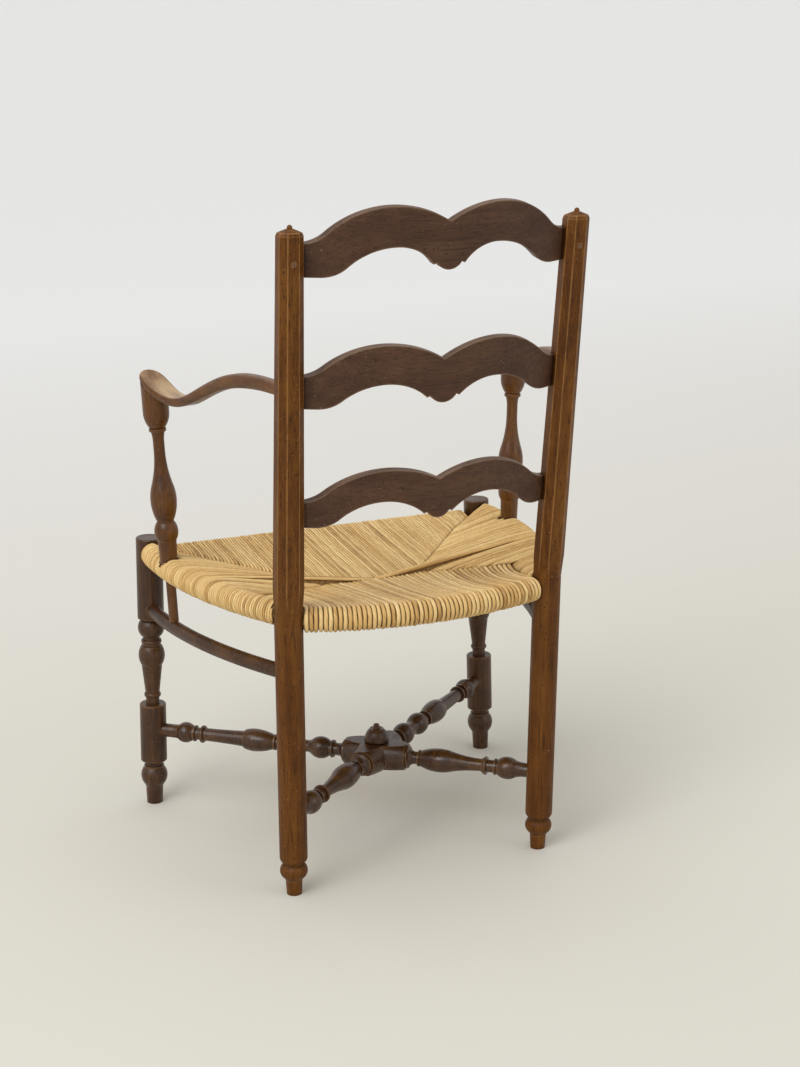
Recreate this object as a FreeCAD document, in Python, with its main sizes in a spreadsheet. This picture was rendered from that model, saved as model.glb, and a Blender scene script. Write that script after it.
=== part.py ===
"""Ladderback armchair: three scrolled, bowed slats between raked back posts,
turned front legs, sinuous arms on turned supports, two turned stretchers that
cross under a rush seat, and a bowed stretcher at each side.

Millimetres, +Z up. The origin is on the floor under the middle of the chair.
+X is the sitter's left and +Y the back of the chair, so the chair faces -Y.
The left half is drawn; the right half is its mirror image."""

import FreeCAD, Part
import math
import os
import re

import Sketcher
from FreeCAD import Placement, Rotation, Vector

# Driving sizes: name, value in millimetres, meaning.
SIZES = [
    # Plan and heights of the frame
    ("post_foot_x", 191.5, "back post, half spacing at the floor"),
    ("post_foot_y", 147.0, "back post, place at the floor"),
    ("post_knee_x", 195.0, "back post, half spacing at the bend"),
    ("post_knee_y", 161.0, "back post, place at the bend"),
    ("post_knee_z", 423.0, "height of the bend at the seat"),
    ("post_tip_x", 202.0, "back post, half spacing at the tip"),
    ("post_tip_y", 221.0, "back post, place at the tip"),
    ("post_height", 950.0, "height of the post finials"),
    ("leg_foot_x", 281.5, "front leg, half spacing at the floor"),
    ("leg_top_x", 272.5, "front leg, half spacing at the top"),
    ("leg_y", -247.0, "front leg, place"),
    ("leg_height", 430.0, "height of the front leg tops"),
    # Clearances
    ("fit_gap", 0.1, "gap round a tenon in its socket"),
    ("blind_gap", 1.0, "gap past the end of a tenon"),
    ("rush_gap", 0.3, "gap between rush and wood"),
    # Back post
    ("post_round_r", 19.8, "round lower post, radius"),
    ("post_bend_r", 19.4, "upper post inside the bend, radius"),
    ("post_square", 38.6, "upper post across the flats above the chamfer stops"),
    ("post_chamfer", 10.0, "corner chamfer above its stops"),
    ("post_square_top", 32.6, "upper post across the flats under the cap"),
    ("post_chamfer_top", 8.5, "corner chamfer under the cap"),
    ("post_stop_rise", 34.0, "height over which the chamfers die out"),
    ("post_overlap", 4.0, "upper post runs on below the bend"),
    ("cap_drop", 14.0, "cap shoulder below the tip"),
    ("cap_round_rise", 4.5, "rise of the worn shoulder"),
    ("cap_round_square", 28.8, "cap across the flats above the shoulder"),
    ("cap_round_chamfer", 7.5, "cap corner chamfer above the shoulder"),
    ("cap_neck_drop", 5.0, "top of the low pyramid below the tip"),
    ("cap_neck_square", 8.5, "top of the low pyramid across the flats"),
    ("cap_neck_chamfer", 2.4, "corner chamfer at the top of the pyramid"),
    ("finial_r", 3.6, "small ball on the cap, radius"),
    ("post_peg_r", 10.6, "foot peg radius at the floor"),
    ("post_peg_h", 22.0, "foot peg height"),
    ("post_peg_top_r", 12.0, "foot peg radius at its top"),
    ("post_flare_h", 4.0, "flare above the foot peg"),
    ("post_bulb_end_r", 14.5, "foot bulb, end radius"),
    ("post_bulb_h", 20.5, "foot bulb height"),
    ("post_bulb_bulge", 5.2, "foot bulb swell"),
    ("post_groove_r", 13.6, "groove above the bulb, radius"),
    ("post_groove_h", 3.5, "groove above the bulb, height"),
    ("post_shoulder_r", 15.0, "rounded shoulder, lower radius"),
    ("post_shoulder_h", 7.0, "rounded shoulder, height"),
    ("floor_trim", 1.0, "turning runs on below the floor before it is cut flat"),
    # Front leg, from the floor up
    ("leg_peg_r", 12.3, "foot peg radius at the floor"),
    ("leg_peg_h", 27.0, "foot peg height"),
    ("leg_peg_top_r", 13.4, "foot peg radius at its top"),
    ("leg_flare_h", 4.0, "flare above the foot peg"),
    ("leg_foot_ball_r", 15.2, "foot ball, end radius"),
    ("leg_foot_ball_h", 28.5, "foot ball height"),
    ("leg_foot_ball_bulge", 5.2, "foot ball swell"),
    ("leg_fillet_r", 15.4, "fillet above the foot ball, radius"),
    ("leg_fillet_h", 2.5, "fillet above the foot ball, height"),
    ("leg_groove_r", 13.4, "groove under the block, radius"),
    ("leg_groove_h", 8.0, "groove under the block, height"),
    ("leg_block_r", 20.3, "stretcher block, radius"),
    ("leg_block_h", 91.0, "stretcher block, height"),
    ("leg_arris", 1.1, "eased edge of the blocks"),
    ("leg_neck_r", 10.4, "neck above the block, radius"),
    ("leg_neck_h", 12.0, "neck above the block, height"),
    ("leg_ring_r", 11.8, "ring above the neck, end radius"),
    ("leg_ring_h", 6.0, "ring above the neck, height"),
    ("leg_ring_bulge", 1.1, "ring above the neck, swell"),
    ("leg_cone_r", 10.8, "cone, lower radius"),
    ("leg_cone_h", 46.0, "cone, height"),
    ("leg_cup_r", 15.9, "cup ball, end radius"),
    ("leg_cup_h", 30.5, "cup ball, height"),
    ("leg_cup_bulge", 4.3, "cup ball, swell"),
    ("leg_fine_r", 14.1, "fine groove, radius"),
    ("leg_fine_h", 4.5, "fine groove, height"),
    ("leg_fine_ring_r", 14.9, "fine ring, end radius"),
    ("leg_fine_ring_h", 5.5, "fine ring, height"),
    ("leg_fine_ring_bulge", 0.8, "fine ring, swell"),
    ("leg_deep_r", 12.5, "deep groove, radius"),
    ("leg_deep_h", 6.0, "deep groove, height"),
    ("leg_top_ball_r", 14.8, "ball under the top cylinder, end radius"),
    ("leg_top_ball_h", 26.5, "ball under the top cylinder, height"),
    ("leg_top_ball_bulge", 5.4, "ball under the top cylinder, swell"),
    ("leg_under_h", 1.6, "groove under the top cylinder, height"),
    ("leg_top_r", 20.2, "top cylinder, radius"),
    ("leg_top_round_h", 2.2, "worn top edge, height"),
    ("leg_top_round_r", 17.8, "worn top edge, inner radius"),
    # Slats, shared
    ("slat_t", 12.0, "board thickness"),
    ("slat_bow", 45.0, "depth of the bow"),
    ("slat_set", 6.0, "board ahead of the post axis at its ends"),
    ("slat_flat_x", 165.0, "gently rising lower edge ends here"),
    ("slat_flat_h", 1.3, "rise of the lower edge up to there"),
    ("slat_ogee", 0.70, "convex share of the upper edge between hump and end"),
    ("arch_ogee", 0.65, "convex share of the lower edge between arch and end"),
    ("slat_nick_x", 4.5, "width of the small nick beside the lobe"),
    ("slat_nick_z", 1.9, "height of the small nick beside the lobe"),
    ("slat_tenon_t", 7.0, "tenon thickness"),
    ("slat_tenon_step", 3.0, "tenon shoulder above and below"),
    ("slat_tenon_past", 6.0, "tenon runs past the post axis"),
    ("slat_tenon_root", 20.0, "tenon starts inside the board, before the axis"),
    ("slat_margin", 30.0, "stock left above the humps before shaping"),
    # Slats, one by one: height of the lower edge at the post, then the outline
    ("top_drop", 68.5, "top slat, lower edge below the finial tips"),
    ("top_end_h", 43.0, "top slat, height at the post"),
    ("top_notch_h", 73.0, "top slat, middle notch"),
    ("top_hump_x", 72.0, "top slat, hump from the middle"),
    ("top_hump_h", 94.2, "top slat, hump"),
    ("top_arch_x", 68.0, "top slat, arch from the middle"),
    ("top_arch_h", 41.6, "top slat, arch"),
    ("top_point_x", 22.0, "top slat, point from the middle"),
    ("top_point_h", 17.8, "top slat, point"),
    ("top_lobe_h", 10.0, "top slat, bottom of the lobe"),
    ("mid_drop", 243.0, "middle slat, lower edge below the finial tips"),
    ("mid_end_h", 43.0, "middle slat, height at the post"),
    ("mid_notch_h", 66.5, "middle slat, middle notch"),
    ("mid_hump_x", 75.0, "middle slat, hump from the middle"),
    ("mid_hump_h", 88.3, "middle slat, hump"),
    ("mid_arch_x", 74.0, "middle slat, arch from the middle"),
    ("mid_arch_h", 35.8, "middle slat, arch"),
    ("mid_point_x", 23.0, "middle slat, point from the middle"),
    ("mid_point_h", 15.5, "middle slat, point"),
    ("mid_lobe_h", 7.2, "middle slat, bottom of the lobe"),
    ("low_drop", 408.0, "bottom slat, lower edge below the finial tips"),
    ("low_end_h", 35.0, "bottom slat, height at the post"),
    ("low_notch_h", 66.3, "bottom slat, middle notch"),
    ("low_hump_x", 66.0, "bottom slat, hump from the middle"),
    ("low_hump_h", 83.2, "bottom slat, hump"),
    ("low_arch_x", 72.0, "bottom slat, arch from the middle"),
    ("low_arch_h", 39.0, "bottom slat, arch"),
    ("low_point_x", 20.5, "bottom slat, point from the middle"),
    ("low_point_h", 18.6, "bottom slat, point"),
    ("low_lobe_h", 11.2, "bottom slat, bottom of the lobe"),
    ("pin_side", 5.2, "square peg through post and top slat, side"),
    ("pin_proud", 0.8, "square peg stands proud of the post"),
    # Seat rails and side stretchers
    ("rail_r", 11.0, "seat rail radius"),
    ("rail_tenon_r", 6.0, "seat rail tenon radius"),
    ("rail_setback", 24.0, "full rail ends before the post axis"),
    ("rail_tip_setback", 4.0, "rail tenon ends before the post axis"),
    ("rear_rail_tip_setback", 8.0, "rear rail tenon ends before the post axis"),
    ("front_rail_z", 396.0, "front rail height, middle"),
    ("rear_rail_drop", 15.0, "rear rail below the bend of the back posts"),
    ("rear_rail_set", 9.0, "rear rail ahead of the post axis"),
    ("rear_rail_bow", 43.0, "rear rail bow"),
    ("side_rail_front_z", 409.0, "side rail height at the leg, middle"),
    ("side_rail_rear_drop", 5.0, "side rail below the bend of the back post"),
    ("side_bar_r", 10.5, "side stretcher radius"),
    ("side_bar_front_z", 317.0, "side stretcher height at the front leg"),
    ("side_bar_rear_z", 333.0, "side stretcher height at the back post"),
    ("side_bar_tip_setback", 5.0, "side stretcher ends before the post axis"),
    # Arm supports
    ("support_low_x", 275.8, "arm support axis at the seat"),
    ("support_low_y", -131.9, "arm support axis at the seat"),
    ("support_low_z", 430.0, "height of the lower reference"),
    ("support_top_x", 284.1, "arm support axis at the cup"),
    ("support_top_y", -137.4, "arm support axis at the cup"),
    ("support_top_z", 650.0, "height of the upper reference"),
    ("support_tenon_r", 5.5, "tenon in the side stretcher, radius"),
    ("support_tenon_past", 5.0, "tenon runs past the stretcher axis"),
    ("support_sink", 0.5, "shank sits into the stretcher"),
    ("support_shank_r", 7.2, "shank through the side rail, radius"),
    ("support_foot_r", 12.9, "foot on the side rail, lower radius"),
    ("support_foot_h", 33.0, "foot height"),
    ("support_foot_top_r", 13.7, "foot, upper radius"),
    ("support_ball_h", 28.0, "lower ball height"),
    ("support_ball_bulge", 4.3, "lower ball swell"),
    ("support_ball_top_r", 12.9, "lower ball, upper end radius"),
    ("support_neck_h", 3.0, "groove above the ball, height"),
    ("support_neck_r", 12.2, "groove above the ball, radius"),
    ("support_vase_r", 13.0, "vase, lower end radius"),
    ("support_vase_low_h", 30.0, "vase, height up to its widest"),
    ("support_vase_max_r", 19.2, "vase, widest radius"),
    ("support_vase_mid_h", 22.3, "vase, height from the widest to the turn"),
    ("support_vase_mid_r", 15.8, "vase, radius at the turn"),
    ("support_vase_top_h", 49.7, "vase, height from the turn to the stem"),
    ("support_stem_r", 8.3, "stem radius"),
    ("support_stem_h", 16.0, "stem height"),
    ("support_flare_h", 14.0, "flare under the ring, height"),
    ("support_flare_r", 10.3, "flare under the ring, radius"),
    ("support_ring_h", 4.5, "neck ring, height"),
    ("support_ring_r", 12.2, "neck ring, end radius"),
    ("support_ring_bulge", 0.5, "neck ring, swell"),
    ("support_cup_low_r", 10.8, "cup, lower radius"),
    ("support_cup_low_h", 23.0, "cup, height of the round part"),
    ("support_cup_r", 19.0, "cup, radius"),
    ("support_cup_h", 60.0, "cup, stock above the round part before fitting"),
    ("support_top_tenon_r", 7.0, "tenon in the arm, radius"),
    ("support_top_tenon_h", 6.0, "tenon in the arm, depth"),
    # Arms: stations measured from the post axis (a, b, c) or back from the
    # support axis (d to j), with width, thickness and height of the middle
    ("arm_rear_z", 733.0, "arm height at the post"),
    ("arm_front_z", 692.0, "arm height over the support"),
    ("arm_round", 0.42, "corner radius as a share of the thickness"),
    ("arm_tenon_r", 6.0, "tenon in the post, radius"),
    ("arm_tenon_tip", 10.0, "tenon ends before the post axis"),
    ("arm_a_s", 12.0, "station a"),
    ("arm_a_w", 20.0, "station a width"),
    ("arm_a_t", 16.6, "station a thickness"),
    ("arm_a_z", 0.0, "station a middle, from the rear height"),
    ("arm_b_s", 40.0, "station b"),
    ("arm_b_w", 21.0, "station b width"),
    ("arm_b_t", 17.4, "station b thickness"),
    ("arm_b_z", 0.0, "station b middle, from the rear height"),
    ("arm_c_s", 85.0, "station c"),
    ("arm_c_w", 23.0, "station c width"),
    ("arm_c_t", 19.0, "station c thickness"),
    ("arm_c_z", -1.0, "station c middle, from the rear height"),
    ("arm_d_s", 206.0, "station d"),
    ("arm_d_w", 25.5, "station d width"),
    ("arm_d_t", 19.6, "station d thickness"),
    ("arm_d_z", 31.5, "station d middle, from the front height"),
    ("arm_e_s", 132.0, "station e"),
    ("arm_e_w", 28.0, "station e width"),
    ("arm_e_t", 16.6, "station e thickness"),
    ("arm_e_z", 2.5, "station e middle, from the front height"),
    ("arm_f_s", 80.0, "station f"),
    ("arm_f_w", 32.5, "station f width"),
    ("arm_f_t", 13.6, "station f thickness"),
    ("arm_f_z", -16.6, "station f middle, from the front height"),
    ("arm_g_s", 39.0, "station g"),
    ("arm_g_w", 37.0, "station g width"),
    ("arm_g_t", 12.0, "station g thickness"),
    ("arm_g_z", -14.5, "station g middle, from the front height"),
    ("arm_h_s", 4.0, "station h"),
    ("arm_h_w", 40.0, "station h width"),
    ("arm_h_t", 10.8, "station h thickness"),
    ("arm_h_z", -1.6, "station h middle, from the front height"),
    ("arm_i_s", -11.5, "station i"),
    ("arm_i_w", 32.0, "station i width"),
    ("arm_i_t", 10.0, "station i thickness"),
    ("arm_i_z", 5.6, "station i middle, from the front height"),
    ("arm_j_s", -19.0, "station j"),
    ("arm_j_w", 12.0, "station j width"),
    ("arm_j_t", 8.4, "station j thickness"),
    ("arm_j_z", 9.0, "station j middle, from the front height"),
    # Crossed stretchers, shared
    ("cross_z", 121.0, "height of the crossed stretchers"),
    ("cross_tip_setback", 6.0, "stretcher ends before the leg axis"),
    ("cross_end_r", 10.4, "stretcher end in its socket, radius"),
    ("hub_mid_r", 27.0, "barrel at the crossing, radius"),
    ("hub_end_r", 20.0, "barrel end radius"),
    ("hub_h", 48.0, "barrel half length"),
    ("hub_top", 20.0, "flat on top of the barrels, above the axis"),
    ("hub_bottom", 17.0, "flat under the barrels, below the axis"),
    ("bell_r", 17.0, "bell beside the barrel, radius"),
    ("bell_h", 3.0, "bell beside the barrel, straight part"),
    ("bell_cove_h", 10.0, "bell beside the barrel, cove"),
    ("reel_r", 9.4, "reel between the rings, radius"),
    ("collar_r", 12.4, "thin collar, radius"),
    ("collar_h", 2.6, "thin collar, thickness"),
    ("nick_r", 10.2, "groove beside a ball, radius"),
    ("nick_h", 3.0, "groove beside a ball, width"),
    ("flange_r", 12.9, "round flange, end radius"),
    ("flange_h", 4.0, "round flange, thickness"),
    ("flange_bulge", 0.7, "round flange, swell"),
    # Back half of a crossed stretcher, from the barrel outwards
    ("rear_reel_h", 5.0, "reel beside the bell"),
    ("rear_vase_r", 11.2, "vase, end radius"),
    ("rear_vase_low_h", 30.0, "vase, length up to its widest"),
    ("rear_vase_max_r", 17.8, "vase, widest radius"),
    ("rear_vase_mid_h", 20.0, "vase, length from the widest to the turn"),
    ("rear_vase_mid_r", 14.6, "vase, radius at the turn"),
    ("rear_taper_r", 9.2, "vase, radius at the thin end"),
    ("rear_small_r", 10.5, "small ring, end radius"),
    ("rear_small_h", 3.0, "small ring, width"),
    ("rear_small_bulge", 0.8, "small ring, swell"),
    ("rear_reel2_h", 12.0, "reel between flange and collar"),
    ("rear_ball_r", 12.3, "ball, end radius"),
    ("rear_ball_h", 27.0, "ball, width"),
    ("rear_ball_bulge", 4.4, "ball, swell"),
    ("rear_neck_h", 14.0, "hollow neck after the ball"),
    ("rear_end_h", 16.0, "plain end, in and before its socket"),
    # Front half of a crossed stretcher, from the socket inwards
    ("front_end_h", 30.0, "plain end, in and before its socket"),
    ("front_neck_h", 8.0, "hollow neck before the ball"),
    ("front_ball_r", 11.3, "ball, end radius"),
    ("front_ball_h", 22.5, "ball, width"),
    ("front_ball_bulge", 4.6, "ball, swell"),
    ("front_reel_h", 9.8, "reel between collar and flange"),
    ("front_taper_r", 9.9, "taper, thin radius"),
    ("front_taper_thick_r", 12.2, "taper, thick radius"),
    ("front_vase_step_r", 14.9, "vase, radius at the step"),
    ("front_vase_step_h", 15.0, "vase, length from the step to its widest"),
    ("front_vase_max_r", 17.4, "vase, widest radius"),
    ("front_vase_low_h", 33.0, "vase, length from the widest to its end"),
    ("front_vase_r", 10.4, "vase, end radius"),
    ("front_neck2_h", 10.0, "neck between collar and ball"),
    ("front_neck2_r", 9.0, "neck between collar and ball, radius"),
    ("front_twin_r", 11.6, "twin balls, end radius"),
    ("front_twin_h", 28.0, "twin balls, width"),
    ("front_twin_bulge", 5.3, "twin balls, swell"),
    ("front_twin_cove_h", 7.0, "cove beside a twin ball"),
    ("front_twin_neck_h", 6.0, "neck between the twin balls"),
    ("front_nick_h", 3.0, "groove between twin ball and flange"),
    ("front_reel2_h", 6.5, "reel beside the bell"),
    # Knob over the crossing
    ("knob_peg_r", 6.0, "peg through both stretchers, radius"),
    ("knob_base_r", 17.2, "knob, radius on the stretchers"),
    ("knob_flare_h", 2.2, "knob, height up to its widest"),
    ("knob_max_r", 18.4, "knob, widest radius"),
    ("knob_dome_h", 18.5, "knob, height of the dome"),
    ("knob_dome_top_r", 10.0, "knob, radius at the top of the dome"),
    ("knob_neck_h", 3.0, "knob, hollow under the nipple"),
    ("knob_nipple_r", 4.4, "nipple radius"),
    ("knob_nipple_h", 2.0, "nipple, straight height"),
    ("knob_crown_h", 2.2, "nipple, crown height"),
    ("knob_crown_r", 1.6, "nipple, radius at the crown"),
    # Rush seat
    ("rush_r", 18.0, "rolled edge, radius round the rail"),
    ("rush_seam_top", 396.0, "seat top at the middle seam"),
    ("rush_seam_bottom", 366.0, "seat underside at the middle seam"),
    ("rush_band_front_y", -18.0, "front edge of the middle band"),
    ("rush_band_rear_y", -8.0, "rear edge of the middle band"),
    ("rush_apex_front_x", 66.0, "front field, half width at the band"),
    ("rush_apex_rear_x", 80.0, "rear field, half width at the band"),
    ("rush_front_miter_x", 202.0, "front mitre, bend"),
    ("rush_front_miter_y", -180.0, "front mitre, bend"),
    ("rush_rear_miter_x", 196.0, "rear mitre, bend"),
    ("rush_rear_miter_y", 44.0, "rear mitre, bend"),
    ("rush_corner", 22.0, "rush drawn back beside the legs and posts"),
]
SIZE = {name: value for name, value, note in SIZES}

doc = FreeCAD.newDocument("LadderbackArmchair")
sheet = doc.addObject("Spreadsheet::Sheet", "Sizes")
for row, (name, value, note) in enumerate(SIZES, start=1):
    sheet.set(f"A{row}", name)
    sheet.set(f"B{row}", str(value))
    sheet.setAlias(f"B{row}", name)
    sheet.set(f"C{row}", note)
# Lengths and angles that follow from the plan, filled in as they are worked out.
layout = doc.addObject("Spreadsheet::Sheet", "Layout")
LAYOUT = {}
doc.recompute()


def lay_out(name, value):
    """Keep a length or angle that follows from the driving sizes."""
    row = len(LAYOUT) + 1
    LAYOUT[name] = value
    layout.set(f"A{row}", name)
    layout.set(f"B{row}", repr(value))
    layout.setAlias(f"B{row}", name)
    layout.recompute()
    return name


def bound(text):
    """A size formula with each name pointing at its spreadsheet cell."""
    def cell(match):
        word = match.group(0)
        if word in SIZE:
            return "Sizes." + word
        if word in LAYOUT:
            return "Layout." + word
        return word
    return re.sub(r"[a-z_][a-z0-9_]*", cell, text)


def number(text):
    """The value of a size formula."""
    return float(sheet.evalExpression(bound(text)))


# Heights that keep their distance from the finials and the bend
HEIGHTS = [
    ("top_z", "post_height - top_drop"),
    ("mid_z", "post_height - mid_drop"),
    ("low_z", "post_height - low_drop"),
    ("rear_rail_z", "post_knee_z - rear_rail_drop"),
    ("side_rail_rear_z", "post_knee_z - side_rail_rear_drop"),
]
for name, text in HEIGHTS:
    lay_out(name, number(text))


# Sketches

def origin_plane(body, role):
    return [item for item in body.Origin.OriginFeatures if item.Role == role][0]


def attached_sketch(body, name, role, offset=("0", "0", "0")):
    """An empty sketch on an origin plane, moved by formulas in its own axes."""
    sketch = body.newObject("Sketcher::SketchObject", name)
    sketch.AttachmentSupport = [(origin_plane(body, role), "")]
    sketch.MapMode = "FlatFace"
    for axis, text in zip("xyz", offset):
        if text != "0":
            sketch.setExpression("AttachmentOffset.Base." + axis, bound(text))
    return sketch


def constrain(sketch, kind, *arguments, text=None):
    """Add a constraint, and tie its value to a formula when one is given."""
    if text is None:
        return sketch.addConstraint(Sketcher.Constraint(kind, *arguments))
    index = sketch.addConstraint(Sketcher.Constraint(kind, *arguments, number(text)))
    sketch.renameConstraint(index, f"size{index}")
    sketch.setExpression(f"Constraints.size{index}", bound(text))
    return index


def fix_coordinate(sketch, edge, end, kind, axis, text):
    """Place a vertex at a formula's distance from the sketch origin."""
    value = number(text)
    if abs(value) < 1e-9:
        constrain(sketch, "PointOnObject", edge, end, axis)
    elif value > 0:
        constrain(sketch, kind, -1, 1, edge, end, text=text)
    else:
        constrain(sketch, kind, edge, end, -1, 1, text=f"0 - ({text})")


def add_edge(sketch, first, last, radius=None, turn=1):
    """Add a line or arc. Returns its index and the ends that lie first and last.

    An arc is the shorter one, its centre to the left when turn is 1."""
    if radius is None:
        return sketch.addGeometry(Part.LineSegment(first, last)), 1, 2
    chord = last - first
    left = Vector(-chord.y, chord.x, 0).normalize()
    rise = math.sqrt(max(radius ** 2 - (chord.Length / 2) ** 2, 0))
    centre = (first + last) / 2 + left * (rise * turn)
    angles = [math.atan2(point.y - centre.y, point.x - centre.x) for point in (first, last)]
    start, end = angles if turn == 1 else reversed(angles)
    if end < start:
        end = end + 2 * math.pi
    circle = Part.Circle(centre, Vector(0, 0, 1), radius)
    index = sketch.addGeometry(Part.ArcOfCircle(circle, start, end))
    return (index, 1, 2) if turn == 1 else (index, 2, 1)


def outline(body, name, role, start, edges, offset=("0", "0", "0")):
    """A closed outline. Each edge is (x, y) or (x, y, radius, turn), in formulas."""
    sketch = attached_sketch(body, name, role, offset)
    corners = [start] + [edge[:2] for edge in edges]
    points = [Vector(number(x), number(y), 0) for x, y in corners]
    placed = []
    for step, edge in enumerate(edges):
        radius = number(edge[2]) if len(edge) > 2 else None
        turn = edge[3] if len(edge) > 2 else 1
        placed.append(add_edge(sketch, points[step], points[step + 1], radius, turn))
    for step, (index, first, last) in enumerate(placed):
        following = placed[(step + 1) % len(placed)]
        constrain(sketch, "Coincident", index, last, following[0], following[1])
        x, y = corners[step]
        fix_coordinate(sketch, index, first, "DistanceX", -2, x)
        fix_coordinate(sketch, index, first, "DistanceY", -1, y)
        if len(edges[step]) > 2:
            constrain(sketch, "Radius", index, text=edges[step][2])
    return sketch


# Turned work

def arc_radius(kind, height, change, bulge):
    """Formula for the radius of a turned arc."""
    if kind in ("bead", "cove"):
        return f"((({height})^2 + ({change})^2) / 4 + ({bulge})^2) / (2 * ({bulge}))"
    return f"(({height})^2 + ({change})^2) / (2 * abs({change}))"


def turned(body, name, start, elements, total=None, base="0"):
    """Turn a profile round the body's Z axis.

    Each element is (kind, height, radius at its top, bulge). Kinds: line, step (a
    flat shoulder), bead and cove (arcs of a given bulge), swell (convex, parallel to
    the axis at its thick end) and hollow (concave, parallel to the axis at its thin
    end). One height may be None: that element takes what is left of the total."""
    sketch = attached_sketch(body, name + "_profile", "XZ_Plane", ("0", base, "0"))
    known = " + ".join(item[1] for item in elements if item[0] != "step" and item[1])
    spare = f"{total} - ({known})" if total else "0"
    radius = number(start)
    spot = Vector(radius, 0, 0)
    index = sketch.addGeometry(Part.LineSegment(Vector(0, 0, 0), spot))
    constrain(sketch, "Coincident", index, 1, -1, 1)
    constrain(sketch, "Horizontal", index)
    constrain(sketch, "DistanceX", -1, 1, index, 2, text=start)
    last, last_end, last_radius = index, 2, start
    for kind, height, top_radius, *bulge in elements:
        rise = 0 if kind == "step" else number(height or spare)
        target = Vector(number(top_radius), spot.y + rise, 0)
        arc = kind not in ("line", "step")
        text = None
        if arc:
            change = f"({top_radius} - ({last_radius}))"
            text = arc_radius(kind, height or spare, change, *(bulge or ["0"]))
        turn = -1 if kind in ("cove", "hollow") else 1
        edge, first, end = add_edge(sketch, spot, target, number(text) if arc else None, turn)
        constrain(sketch, "Coincident", last, last_end, edge, first)
        constrain(sketch, "DistanceX", -1, 1, edge, end, text=top_radius)
        if kind == "step":
            constrain(sketch, "Horizontal", edge)
        elif height:
            constrain(sketch, "DistanceY", edge, first, edge, end, text=height)
        else:
            constrain(sketch, "DistanceY", edge, first, edge, end, text=spare)
        if arc:
            constrain(sketch, "Radius", edge, text=text)
        last, last_end, last_radius, spot = edge, end, top_radius, target
    top = sketch.addGeometry(Part.LineSegment(spot, Vector(0, spot.y, 0)))
    constrain(sketch, "Coincident", last, last_end, top, 1)
    constrain(sketch, "Horizontal", top)
    constrain(sketch, "PointOnObject", top, 2, -2)
    axis = sketch.addGeometry(Part.LineSegment(Vector(0, spot.y, 0), Vector(0, 0, 0)))
    constrain(sketch, "Coincident", top, 2, axis, 1)
    constrain(sketch, "Coincident", axis, 2, -1, 1)
    turning = body.newObject("PartDesign::Revolution", name)
    turning.Profile = sketch
    turning.ReferenceAxis = (sketch, ["V_Axis"])
    turning.Angle = 360
    return turning


# Placing and joining

def frame(origin, along, towards):
    """Placement with Z along one direction and X turned towards another."""
    z_axis = Vector(along).normalize()
    y_axis = z_axis.cross(towards).normalize()
    x_axis = y_axis.cross(z_axis)
    return Placement(origin, Rotation(x_axis, y_axis, z_axis, "ZXY"))


def new_body(name, placement=None):
    body = doc.addObject("PartDesign::Body", name)
    if placement:
        body.Placement = placement
    return body


def rod(name, start, end, radius):
    """A plain round rod or hole between two points."""
    item = doc.addObject("Part::Cylinder", name)
    item.setExpression("Radius", bound(radius))
    item.setExpression("Height", bound(lay_out(name + "_length", (end - start).Length)))
    item.Placement = frame(start, end - start, Vector(0, -1, 0.01))
    return item


def slab(name, size, placement, corner):
    """A box of three formulas, its low corner moved by three more."""
    item = doc.addObject("Part::Box", name)
    for side, text in zip(("Length", "Width", "Height"), size):
        item.setExpression(side, bound(text))
    shift = Vector(*(number(text) for text in corner))
    item.Placement = placement.multiply(Placement(shift, Rotation()))
    return item


def fused(name, items):
    joined = doc.addObject("Part::MultiFuse", name)
    joined.Shapes = items
    return joined


def shared(name, items):
    overlap = doc.addObject("Part::MultiCommon", name)
    overlap.Shapes = items
    return overlap


def cut(name, base, tools):
    """The base with every tool taken out of it."""
    result = doc.addObject("Part::Cut", name)
    result.Base = base
    result.Tool = tools[0] if len(tools) == 1 else fused(name + "_tools", tools)
    return result


def mirrored(name, source):
    """The same piece on the other side of the chair."""
    twin = doc.addObject("Part::Mirroring", name)
    twin.Source = source
    twin.Normal = Vector(1, 0, 0)
    return twin


def mirror_point(point):
    return Vector(-point.x, point.y, point.z)


# Axes of the left-hand members

def post_axis(height):
    """Point on the bent axis of the left back post."""
    foot = Vector(SIZE["post_foot_x"], SIZE["post_foot_y"], 0)
    knee = Vector(SIZE["post_knee_x"], SIZE["post_knee_y"], SIZE["post_knee_z"])
    tip = Vector(SIZE["post_tip_x"], SIZE["post_tip_y"], SIZE["post_height"])
    low, high = (foot, knee) if height <= knee.z else (knee, tip)
    return low + (high - low) * ((height - low.z) / (high.z - low.z))


def leg_axis(height):
    """Point on the axis of the left front leg."""
    lean = (SIZE["leg_top_x"] - SIZE["leg_foot_x"]) * height / SIZE["leg_height"]
    return Vector(SIZE["leg_foot_x"] + lean, SIZE["leg_y"], height)


def support_axis(height):
    """Point on the axis of the left arm support."""
    low = Vector(SIZE["support_low_x"], SIZE["support_low_y"], SIZE["support_low_z"])
    top = Vector(SIZE["support_top_x"], SIZE["support_top_y"], SIZE["support_top_z"])
    return low + (top - low) * ((height - low.z) / (top.z - low.z))


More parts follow.
